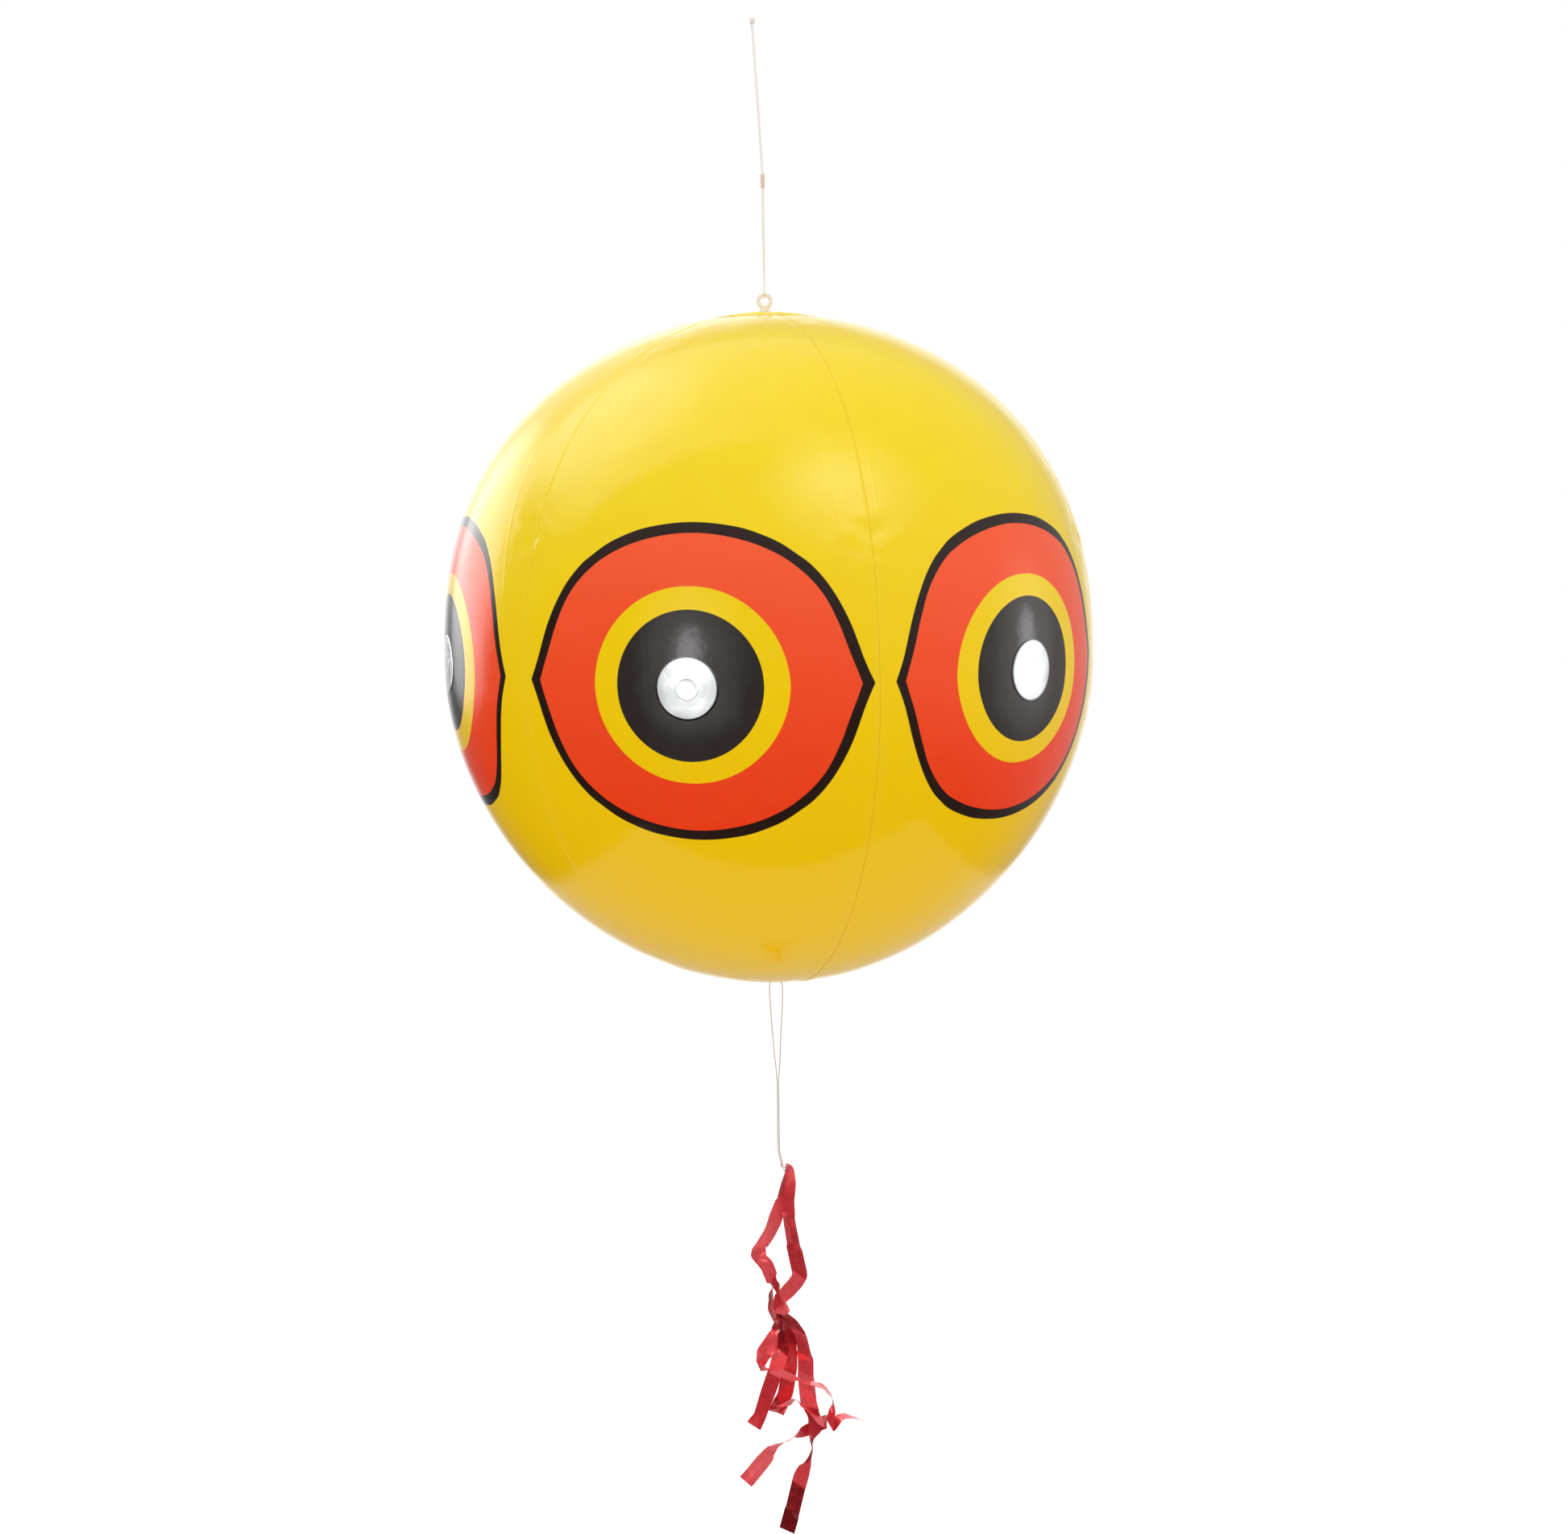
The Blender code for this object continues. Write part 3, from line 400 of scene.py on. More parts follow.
# Tail string: one thin string through the bottom eyelet. Its two strands come together and
# run down to the tail knot.
tail_thickness = 0.0009
tail_pitch = 0.0034
tail_route = smooth_route([
    (0.006, 0, -0.70889), (0.00539, 0, -0.70516), (0.00429, 0, -0.69957), (0.0041, 0, -0.68403),
    (0.00429, 0, -0.66663), (0.00418, 0, -0.6506), (0.00259, 0, -0.63158), (0.00118, 0, -0.60945),
    (0.0005, 0, -0.59454), (0.00061, 0, -0.59019), (0.00151, 0, -0.58758), (0.00285, 0, -0.58607),
    (0.0046, 0, -0.58584), (0.00635, 0, -0.58607), (0.00769, 0, -0.58758), (0.00859, 0, -0.59019),
    (0.0087, 0, -0.59454), (0.0083, 0, -0.6061), (0.00701, 0, -0.62462), (0.00618, 0, -0.64264),
    (0.0054, 0, -0.65159), (0.00529, 0, -0.66663), (0.0051, 0, -0.68403), (0.00529, 0, -0.69957),
    (0.00639, 0, -0.70516), (0.007, 0, -0.70889)], 0.0008)
tail_string = lay_string("tail_string_laid", [tail_route], tail_thickness, 2, tail_pitch, tail_yarn)
dress(tail_string, "tail", "tail_string")


# Tail knot: where both strands end, a double turn of the same string, drawn tight above the
# streamer's tie.
tail_knot = lay_string("tail_knot_turns", [coil_route((0.0065, 0), 0.00062, -0.70935, -0.71105, 2.4)],
                       tail_thickness, 2, tail_pitch, tail_yarn)
dress(tail_knot, "tail", "tail_knot")


# Ball: six gores of printed vinyl film, cut flat, lap welded at their right edges and blown up.
# The film puckers a little along the welds, and each gore swells between them.
ball_radius = 0.1985
crown_height = 0.2132
base_height = 0.1963
crown_power = 2.46
base_power = 1.80
widest_z = -0.385171
film = 0.0003
layer_gap = 0.0003
skin = 0.0002
gore_count = 6
front_turn = math.radians(-103)
gore_end_radius = 0.026
lap = 0.004
joggle = 0.0007
gore_bulge = 0.0008
edge_strip = 0.008
gore_rows = 230
body_columns = 44
gather_reach = 0.014
crumple_rise = 0.070
crumple_spread = 0.022
still_fade = 0.025
squeeze_start = 0.055
print_rise = 0.0009
gore_sizes = {
    "Ball Radius": ball_radius, "Crown Height": crown_height, "Base Height": base_height,
    "Crown Power": crown_power, "Base Power": base_power, "Widest Height": widest_z, "Axis Place": axis_x,
    "Bulge": gore_bulge, "Tuck Depth": skin + 0.00003, "Weld Depth": 0.00004, "Pucker Height": 0.0019,
    "Slack Height": 0.0009, "Still Radius": 0.033, "Eye Height": eye_z + print_rise}


def profile_height(radius, power):
    """Height share at which the ball's profile has this radius."""
    return (1 - (radius / ball_radius) ** 2) ** (1 / power)


def film_point(angle, level, lift):
    """Point of the ball's film at this turn and level, lift off its outer face."""
    power, height = (crown_power, crown_height) if level > 0 else (base_power, base_height)
    steep = abs(level)
    radius = ball_radius * math.sqrt(1 - steep ** power)
    out = 2 * radius / ball_radius ** 2
    rise = math.copysign(power * steep ** (power - 1) / height, level)
    size = math.hypot(out, rise)
    swell = gore_bulge * math.cos(gore_count * (angle - front_turn)) * (1 - steep ** power)
    radius += (lift + swell) * out / size
    z = widest_z + height * level + lift * rise / size
    return Vector((axis_x + radius * math.cos(angle), radius * math.sin(angle), z))


def grid_cells(rows, columns):
    """Quads of a sheet whose points run along its rows."""
    return [(i * columns + j, (i + 1) * columns + j, (i + 1) * columns + j + 1, i * columns + j + 1)
            for i in range(rows - 1) for j in range(columns - 1)]


def flat_gore(name):
    """The cut panel: its places as shares of the turn and level, and metres from its seams."""
    steps = [math.sin(math.pi / 2 * (2 * i / body_columns - 1)) for i in range(body_columns + 1)]
    columns = [(-1, x, 0, press) for x, press in (
        (0, 0.5), (0.00007, 0.5), (0.0003, 0.6), (0.0007, 0.8), (0.0012, 1), (0.0018, 1), (0.0025, 1),
        (0.0032, 0.9), (0.0039, 0.6), (0.0046, 0.3), (0.0053, 0.1), (0.0062, 0), (0.007, 0))]
    columns += [(s, -s * edge_strip, 0, 0) for s in steps]
    columns += [(1, -x, 0, 0) for x in (0.007, 0.006, 0.005, 0.004, 0.003, 0.002)]
    bend = joggle + layer_gap
    columns += [(1, -bend + joggle * k / 6, k * k / 36 * (3 - k / 3), 0) for k in range(7)]
    columns += [(1, x, 1, 0) for x in (0, 0.001, 0.0025, lap)]
    start = math.acos(profile_height(gore_end_radius, crown_power))
    stop = math.acos(-profile_height(gore_end_radius, base_power))
    levels = [math.cos(start + (stop - start) * i / gore_rows) for i in range(gore_rows + 1)]
    table = np.array([(*c, level) for level in levels for c in columns], np.float32)
    made = mesh_object(name, [(c[0], level, 0) for level in levels for c in columns],
                       grid_cells(gore_rows + 1, len(columns)))
    for k, label in enumerate(("turn_share", "run", "tuck", "press", "level")):
        made.data.attributes.new(label, "FLOAT", "POINT").data.foreach_set("value", table[:, k])
    return made


def ramp(value, start, stop, low=0.0, high=1.0):
    """Maps start to stop onto low to high by a smooth step."""
    return spread(value, low, high, start, stop, "SMOOTHSTEP")


def hypot(across, up):
    """Length of a way with these two parts at right angles."""
    return calc("SQRT", across ** 2 + up ** 2)


def make_blown_gore():
    """Tree that blows the flat panel up onto the ball, with its lap, weld and puckers."""
    numbers = dict.fromkeys((*gore_sizes, "Middle Turn", "Print Shift", "Print Squeeze"), "Float")
    tree, given = new_group("blown gore", "GeometryNodeTree", {
        "Geometry": "Geometry", **numbers, "Material": "Material"}, {"Geometry": "Geometry"})

    def read(label):
        return take(tree, "GeometryNodeInputNamedAttribute", {"Name": label}, "Attribute", data_type="FLOAT")

    def mark(shape, label, value, kind, domain):
        return take(tree, "GeometryNodeStoreNamedAttribute", {
            "Geometry": shape, "Name": label, "Value": value}, data_type=kind, domain=domain)

    # The ball's profile, and the way out of its face.
    level, ball = read("level"), given["Ball Radius"]
    upper, steep = calc("GREATER_THAN", level, 0), abs(level)
    power = upper * (given["Crown Power"] - given["Base Power"]) + given["Base Power"]
    height = upper * (given["Crown Height"] - given["Base Height"]) + given["Base Height"]
    waist = 1 - steep ** power
    radius = ball * calc("SQRT", waist)
    half = math.pi / gore_count
    beside = read("turn_share") * half + read("run") / radius
    angle = beside + given["Middle Turn"]
    out = radius * 2 / ball ** 2
    rise = power * steep ** (power - 1) / height * calc("SIGN", level)
    size = hypot(out, rise)
    cosine, sine = calc("COSINE", angle), calc("SINE", angle)
    flat_z = level * height + given["Widest Height"]
    over_eye = flat_z - given["Eye Height"]

    # How the film leaves that face: puckers by the seams, slack, swell, weld and tuck.
    arc = calc("ARCCOSINE", level) * ball
    seam = abs(half - abs(beside)) * radius

    def film_noise(fineness, along, detail):
        place = take(tree, "ShaderNodeCombineXYZ", [cosine * ball, sine * ball, arc * along])
        return grain(tree, place, fineness, detail) - 0.5

    near = calc("EXPONENT", seam / -gather_reach)
    still = calc("DIVIDE", radius - given["Still Radius"], still_fade, clamp=True)
    crumpled = calc("EXPONENT", ((over_eye - crumple_rise) / crumple_spread) ** 2 * -1)
    patches = calc("MULTIPLY_ADD", film_noise(9, 1.3, 0), 4.5, 0.35, clamp=True)
    gathers = film_noise(70, 1.6, 3) * near * crumpled * 2.1 + film_noise(22, 4.2, 2) * near * patches
    lift = (gathers * still * given["Pucker Height"] + film_noise(9, 1, 1) * still * given["Slack Height"]
            + calc("COSINE", beside * gore_count) * waist * given["Bulge"]
            - (read("press") * given["Weld Depth"] + read("tuck") * given["Tuck Depth"]))
    far = lift * (out / size) + radius
    place = take(tree, "ShaderNodeCombineXYZ", [
        far * cosine + given["Axis Place"], far * sine, lift * (rise / size) + flat_z])

    # Where each point lies in the print, in metres from the eye's middle.
    across = beside * ball - given["Print Shift"]
    outer = calc("MAXIMUM", abs(across) - squeeze_start, 0)
    printed = take(tree, "ShaderNodeCombineXYZ", [
        across + outer * given["Print Squeeze"] * calc("SIGN", across), over_eye])
    inked = mark(given["Geometry"], "print", printed, "FLOAT2", "CORNER")
    marked = mark(inked, "seam", seam, "FLOAT", "POINT")
    blown = take(tree, "GeometryNodeSetPosition", {"Geometry": marked, "Position": place})
    close_tree(tree, blown, given["Material"])
    return tree


# The eye print: the reach in millimetres of the black outline's outer and inner edge and of
# the yellow ring at each slope in degrees, then the pupil. Bead and creases are the film's.
outline_slopes = (0, 6.6, 11.9, 19.1, 23.5, 30.2, 35.8, 40.5, 44.8, 48.6, 56.1, 63.1, 70, 76.6, 83.3, 90)
outline_outer = (100, 95.6, 93.9, 93, 92.7, 92.5, 92.4, 92.1, 91.6, 90.7, 89.6, 88.2, 87.1, 86, 85.4, 85.2)
inner_slopes = (0, 3, 11.1, 21, 34.4, 48.8, 60, 75, 90)
outline_inner = (93, 91.3, 88, 86.9, 86.9, 85.1, 82.9, 80.4, 79.6)
ring_slopes = (0, 90)
ring_reaches = (54.2, 52.2)
curve_top = 110
pupil_radius = 0.0403
ink_blur = 0.00035
bead_place = 0.0058
bead_width = 0.0004
hook_height = 0.089
hook_radius = 0.0016
crease_width = 0.0011
bead_height = 0.00006
wave_height = 0.00033
film_creases = (((0.075, 0.130), (0.094, 0.040), 0.00007), ((-0.020, -0.11), (-0.026, 0.12), -0.000015),
                ((-0.088, -0.03), (-0.080, -0.135), 0.00004))


def make_handled_film():
    """Group for smooth film that has been folded and handled: mottling, faint scuffs, slow waves."""
    tree, given = new_group(
        "handled film", "ShaderNodeTree", dict.fromkeys(("Gloss", "Dulling", "Waves", "Scuffs"), "Float"),
        dict.fromkeys(("Tone", "Roughness", "Height"), "Float"))
    mottle = object_noise(tree, 45, 3)
    shade = spread(mottle, -0.9, 0.9) + spread(object_noise(tree, 1600), -0.5, 0.5)
    scuffs = spread(object_noise(tree, given["Scuffs"], 6, 0.7), 0, 1, 0.52, 0.75)
    put(tree, "NodeGroupOutput", {
        "Tone": calc("ADD", shade, 0.5, clamp=True),
        "Roughness": scuffs * given["Dulling"] + (mottle * 0.05 + given["Gloss"]),
        "Height": object_noise(tree, 160, 3) * 0.22 + object_noise(tree, given["Waves"], 2, 0.4)})
    return tree


handled_film = make_handled_film()


def film_wear(tree, gloss, dulling, waves, scuffs):
    """The handled film group placed in a material, with its own values."""
    return place_group(tree, handled_film, {
        "Gloss": gloss, "Dulling": dulling, "Waves": waves, "Scuffs": scuffs})


def bead_shape(away):
    """Height of a fine rounded bead, 1 at its middle."""
    return calc("EXPONENT", away ** 2 * (-1 / bead_width ** 2))


def crease_line(place, start, stop, depth):
    """Height along a straight fold crease of the print sheet, from start to stop."""
    way = Vector(stop) - Vector(start)
    half = way.length / 2
    way.normalize()
    x, y = place[0] - start[0], place[1] - start[1]
    middle = abs((x * way.x + y * way.y - half) / half)
    off = abs(x * -way.y + y * way.x)
    return calc("EXPONENT", off / -crease_width) * ramp(middle, 0.7, 1.0, depth, 0)


def make_vinyl():
    """Glossy printed film: crisp-edged inks painted lighter towards the top and deeper below as painted
    shade, weld marks.
    """
    made, tree, shader = new_material("printed_vinyl_film")
    place = parts_of(take(tree, "ShaderNodeUVMap", uv_map="print"))
    across, rise = abs(place[0]), abs(place[1])
    reach = hypot(across, rise)
    slope = calc("ARCTAN2", rise, across) / (math.pi / 2)

    def edge(slopes, reaches):
        """The reach of a printed line in metres, read from its curve over the slope."""
        node = put(tree, "ShaderNodeFloatCurve", {"Value": slope})
        line = node.mapping.curves[0]
        while len(line.points) < len(slopes):
            line.points.new(0.5, 0.5)
        for point, angle, far in zip(line.points, slopes, reaches):
            point.location = (angle / 90, far / curve_top)
        node.mapping.update()
        return Value(tree, node.outputs[0]) * (curve_top / 1000)

    wear = film_wear(tree, 0.085, 0.09, 26, 130)
    # Painted shade: the yellow and red inks are paler towards the top of the print and deeper towards its
    # bottom, standing in for the light from above.
    painted_top_light, tone = ramp(place[1], -0.13, 0.15), wear["Tone"]
    yellow = blend_colours(tone * 0.35, blend_colours(painted_top_light, (0.915, 0.545, 0.000), (0.880, 0.660, 0.003)),
                           (0.850, 0.560, 0.000))
    red = blend_colours(tone * 0.25, blend_colours(painted_top_light, (0.860, 0.036, 0.004), (0.930, 0.115, 0.036)),
                        (0.880, 0.080, 0.012))
    black = blend_colours(tone, (0.020, 0.009, 0.006), (0.026, 0.013, 0.009))
    pupil = blend_colours(tone, (0.026, 0.020, 0.018), (0.036, 0.030, 0.027))
    colour = yellow
    for limit, ink in ((edge(outline_slopes, outline_outer), black), (edge(inner_slopes, outline_inner), red),
                       (edge(ring_slopes, ring_reaches), yellow), (pupil_radius, pupil)):
        inside = calc("MULTIPLY_ADD", limit - reach, 1 / ink_blur, 0.5, clamp=True)
        colour = blend_colours(inside, colour, ink)

    # The weld squeezes a fine bead up at its inner side. It ends in a small hook above the eye.
    seam = take(tree, "ShaderNodeAttribute", output="Fac", attribute_name="seam")
    above = ramp(place[1], hook_height - 0.0003, hook_height + 0.0003)
    beside = seam - bead_place
    curl = hypot(beside + hook_radius, place[1] - hook_height)
    bead = bead_shape(beside) * above + bead_shape(curl - hook_radius) * (1 - above)
    bumps = bead * calc("LESS_THAN", place[0], 0) * bead_height + wear["Height"] * wave_height
    for crease in film_creases:
        bumps += crease_line(place, *crease)
    set_looks(shader, bumps, 1.0, {
        "Base Color": colour, "IOR": 1.52,
        "Roughness": ramp(seam, 0.0035, 0.0050, 0.05, 0) + wear["Roughness"]})
    return made


def thicken(made, thickness, offset=-1):
    """Gives a sheet its two skins, by a live modifier."""
    walls = made.modifiers.new("film", "SOLIDIFY")
    walls.thickness, walls.offset = thickness, offset


vinyl = make_vinyl()
blown_gore = make_blown_gore()
print_shifts = (0.0012, -0.0035, 0.0008, -0.0015, 0.0010, -0.0015)
print_squeezes = (0.0, 0.24, 0.16, 0.20, 0.14, 0.36)
gore_turns = [front_turn + 2 * math.pi * k / gore_count for k in range(gore_count)]
for number, (turn, shift, squeeze) in enumerate(zip(gore_turns, print_shifts, print_squeezes), 1):
    gore = grow(flat_gore(f"gore_{number}_film"), blown_gore, {
        **gore_sizes, "Middle Turn": turn, "Print Shift": shift, "Print Squeeze": squeeze, "Material": vinyl})
    thicken(gore, skin)
    settle(gore)
    dress(gore, "balloon", f"gore_{number}")


# Top disc: round patch of the same film, welded over the gores' top ends. The tab under it
# draws it up to a low tent with a few slack folds.
disc_radius = 0.031
crown_apex_z = -0.1711
tab_flange_radius = 0.0055
disc_lift = 0.00022
disc_turns = 180
disc_rings = 44
weld_ring = (0.0268, 0.0302)
weld_teeth = 150
weld_press = 0.00005
tent_fold = 0.00022


def plain_film():
    """The gores' film without print: soft gloss, light mottling, a knurled weld ring."""
    made, tree, shader = new_material("patch_vinyl_film")
    wear = film_wear(tree, 0.12, 0.14, 60, 300)
    place = take(tree, "ShaderNodeTexCoord", output="Object")
    x, y, _ = parts_of(take(tree, "ShaderNodeMapping", {"Vector": place, "Location": (-axis_x, 0, 0)}))
    reach = hypot(x, y)
    knurl = (calc("GREATER_THAN", reach, weld_ring[0]) * calc("LESS_THAN", reach, weld_ring[1])
             * calc("SINE", calc("ARCTAN2", y, x) * weld_teeth))
    set_looks(shader, wear["Height"] * 2.5 + knurl, 0.00004, {
        "Base Color": blend_colours(wear["Tone"], (0.90, 0.64, 0.001), (0.93, 0.72, 0.004)),
        "Roughness": wear["Roughness"] + 0.18, "Specular IOR Level": 0.06}, 0.8)
    return made


def round_cells(rings, turns):
    """Faces of a round sheet: a fan at its middle point, then rings of quads."""
    cells = [(0, 1 + k, 1 + (k + 1) % turns) for k in range(turns)]
    for a in range(1, 1 + (rings - 1) * turns, turns):
        b = a + turns
        cells += [(a + k, b + k, b + (k + 1) % turns, a + (k + 1) % turns) for k in range(turns)]
    return cells


def film_disc(name, height, outward):
    """Round patch whose outer skin is at height(radius, turn), with the weld pressed in."""
    points = [Vector((axis_x, 0, height(0, 0)))]
    for i in range(1, disc_rings + 1):
        radius = disc_radius * (i / disc_rings)
        pressed = weld_press if weld_ring[0] < radius < weld_ring[1] else 0
        for k in range(disc_turns):
            turn = 2 * math.pi * k / disc_turns
            z = height(radius, turn) - outward * pressed
            points.append(Vector((axis_x + radius * math.cos(turn), radius * math.sin(turn), z)))
    made = mesh_object(name, points, [cell[::outward] for cell in round_cells(disc_rings, disc_turns)])
    thicken(made, skin)
    made.data.shade_smooth()
    made.data.materials.append(patch_film)
    return made


def crown_tent(radius, turn):
    end_z, rim_z = (widest_z + crown_height * profile_height(reach, crown_power) + disc_lift
                    for reach in (gore_end_radius, disc_radius))
    if radius > gore_end_radius:
        return end_z + (rim_z - end_z) * (radius - gore_end_radius) / (disc_radius - gore_end_radius)
    share = max(0, (radius - tab_flange_radius) / (gore_end_radius - tab_flange_radius))
    folds = math.cos(7 * turn + 0.6) + 0.6 * math.cos(4 * turn + 2)
    return end_z + (crown_apex_z - end_z) * (1 - share ** 2) + tent_fold * folds * share * (1 - share) * 4


patch_film = plain_film()
dress(settle(film_disc("top_disc_film", crown_tent, 1)), "balloon", "top_disc")


# Bottom disc: the same patch over the gores' lower ends, with a round hole for the valve.
base_face_z = -0.580193
base_rim_face_z = -0.579396
valve_x = axis_x + 0.016
valve_bore = 0.0045
base_slack = 0.00012


def base_face(radius, turn):
    share = max(0, (radius - gore_end_radius) / (disc_radius - gore_end_radius))
    slack = base_slack * math.cos(5 * turn + 1) * min(1, radius / gore_end_radius) * (1 - share)
    return base_face_z + (base_rim_face_z - base_face_z) * share + slack


def cut_hole(made, x, radius):
    """Cuts a round hole through a patch, straight down."""
    shape = bmesh.new()
    bmesh.ops.create_cone(shape, cap_ends=True, segments=64, radius1=radius, radius2=radius, depth=0.004,
                          matrix=Matrix.Translation((x, 0, base_face_z)))
    punch = mesh_object("hole_punch", ())
    shape.to_mesh(punch.data)
    shape.free()
    cut = made.modifiers.new("hole", "BOOLEAN")
    cut.object, cut.solver = punch, "EXACT"
    settle(made)
    bpy.data.objects.remove(punch)
    return made


bottom_disc = cut_hole(film_disc("bottom_disc_film", base_face, -1), valve_x, valve_bore)
dress(bottom_disc, "balloon", "bottom_disc")


# Hang tabs: soft clear vinyl mouldings, each a rounded eyelet ring on a flared neck, with a
# flange that is welded under its disc. The top one carries the ball, the other the tail.
tab_thickness = 0.0020
tab_flange = 0.0005
tab_voxel = 0.00014
top_ring_z = -0.1641
base_ring_z = -0.584593


def soft_vinyl():
    """Milky clear moulding: light goes through it, the gloss is soft, with faint flow marks."""
    made, tree, shader = new_material("clear_tab_vinyl")
    flow = object_noise(tree, 700, 3, 0.5, (1, 1, 0.4))
    set_looks(shader, flow, 0.00004, {
        "Base Color": blend_colours(flow, (0.93, 0.87, 0.85), (0.97, 0.94, 0.93)),
        "Roughness": spread(flow, 0.30, 0.46), "Transmission Weight": 0.15, "IOR": 1.45})
    return made


def turned_points(outline, turns, turn=Matrix()):
    """Places and faces of a closed (radius, height) outline turned about Z."""
    angles = [2 * math.pi * k / turns for k in range(turns)]
    points = [turn @ Vector((r * math.cos(a), r * math.sin(a), z)) for r, z in outline for a in angles]
    faces = []
    for i in range(len(outline)):
        j = (i + 1) % len(outline)
        faces += [(i * turns + k, i * turns + (k + 1) % turns, j * turns + (k + 1) % turns, j * turns + k)
                  for k in range(turns)]
    return points, faces


def rounded_outline(corners, radius, steps=4):
    """Closed outline whose corners off the axis are rounded by an arc of about this radius."""
    rounded = []
    for before, corner, after in zip(corners[-1:] + corners[:-1], corners, corners[1:] + corners[:1]):
        if corner[0] == 0:
            rounded.append(corner)
            continue
        a, b, c = Vector(before), Vector(corner), Vector(after)
        reach = min(radius, (a - b).length * 0.45, (c - b).length * 0.45)
        start, stop = b + (a - b).normalized() * reach, b + (c - b).normalized() * reach
        for i in range(steps + 1):
            t = i / steps
            rounded.append(tuple(start * (1 - t) ** 2 + b * (2 * t * (1 - t)) + stop * t ** 2))
    return rounded


def merged(name, parts, place, voxel=None):
    """One closed mesh of these parts, melted into each other where a voxel size is given."""
    points, faces = [], []
    for some, cells in parts:
        faces += [tuple(len(points) + i for i in cell) for cell in cells]
        points += some
    made = mesh_object(name, [Vector(place) + p for p in points], faces)
    shape = bmesh.new()
    shape.from_mesh(made.data)
    bmesh.ops.remove_doubles(shape, verts=shape.verts, dist=0.00001)
    bmesh.ops.recalc_face_normals(shape, faces=shape.faces)
    shape.to_mesh(made.data)
    shape.free()
    if voxel:
        melt = made.modifiers.new("melt", "REMESH")
        melt.voxel_size, melt.use_smooth_shade = voxel, True
        soft = made.modifiers.new("soft", "SMOOTH")
        soft.factor, soft.iterations = 0.5, 6
        settle(made)
    made.data.shade_smooth()
    made.data.set_sharp_from_angle(angle=math.radians(50))
    made.data.materials.append(clear_vinyl)
    return made


def block_cells(count):
    """Faces of a closed block through this many four-cornered sections."""
    sides = [(4 * i + k, 4 * i + (k + 1) % 4, 4 * i + 4 + (k + 1) % 4, 4 * i + 4 + k)
             for i in range(count - 1) for k in range(4)]
    return [(3, 2, 1, 0), *sides, tuple(4 * count - 4 + i for i in range(4))]


def hang_tab(name, node, ring_z, ring_radius, hole_radius, neck_width, foot, slope, turn):
    """Eyelet on its neck and flange. foot is the flange's face under the disc, from the ring."""
    band, middle = (ring_radius - hole_radius) / 2, (ring_radius + hole_radius) / 2
    side = math.copysign(1, foot)

    def blunted(value):
        return math.copysign(abs(value) ** 0.8, value)

    section = [(middle + band * blunted(math.cos(a)), tab_thickness / 2 * blunted(math.sin(a)))
               for a in (2 * math.pi * (i + 0.5) / 16 for i in range(16))]
    deep = tab_thickness * 0.44
    neck = [Vector((x * w, y * d, z)) for w, d, z in (
        (neck_width * 0.42, deep, side * middle), (neck_width * 0.46, deep, side * ring_radius),
        (neck_width * 0.60, deep * 1.25, foot - side * tab_flange))
        for x, y in ((-1, -1), (1, -1), (1, 1), (-1, 1))]
    edge = foot + side * slope * tab_flange_radius
    flange = rounded_outline([
        (0, foot), (tab_flange_radius, edge), (tab_flange_radius, edge + side * tab_flange),
        (0, foot + side * tab_flange)], 0.0002)
    made = merged(name, [turned_points(section, 72, Matrix.Rotation(math.pi / 2, 4, "X")),
                         (neck, block_cells(3)), turned_points(flange, 48)], (0, 0, 0), tab_voxel)
    made.data.transform(Matrix.Translation((axis_x, 0, ring_z)) @ Matrix.Rotation(turn, 4, "Z"))
    dress(made, "balloon", node)


clear_vinyl = soft_vinyl()
hang_tab("top_hang_tab_moulding", "top_hang_tab", top_ring_z, 0.005, 0.0025, 0.006,
         crown_apex_z - film - layer_gap - top_ring_z, 0.0679, 0)
hang_tab("bottom_hang_tab_moulding", "bottom_hang_tab", base_ring_z, 0.0037, 0.0020, 0.0044,
         base_face_z + film + layer_gap - base_ring_z, 0, math.pi / 2)


# Pupil discs: silver metallised film, die cut, stuck on each printed pupil, with a pressed
# dimple in the middle and a rim that the die turns down.
foil_radius = 0.017
foil_thickness = 0.00012
dimple_radius = 0.0055
dimple_depth = 0.00016
foil_lift = 0.00055
lip_height = 0.00006
lip_width = 0.0004
rim_share = 0.95
rim_fall = 0.0002
foil_wave = 0.00010
foil_turns = 120
foil_rings = 34


def silver_film():
    """Bright metallised film: fine press marks, a hint of prism colour, and handling smudges."""
    made, tree, shader = new_material("silver_metal_film")
    wear = film_wear(tree, 0.13, 0.22, 90, 240)
    tint = blend_colours(spread(object_noise(tree, 260), -0.2, 1.2), (0.86, 0.91, 0.94), (0.96, 0.94, 0.91))
    set_looks(shader, wear["Height"] + object_noise(tree, 420, 3, 0.6), 0.00003, {
        "Base Color": blend_colours(wear["Tone"] * 0.25, tint, (0.78, 0.79, 0.81)),
        "Roughness": wear["Roughness"], "Metallic": 1.0})
    return made


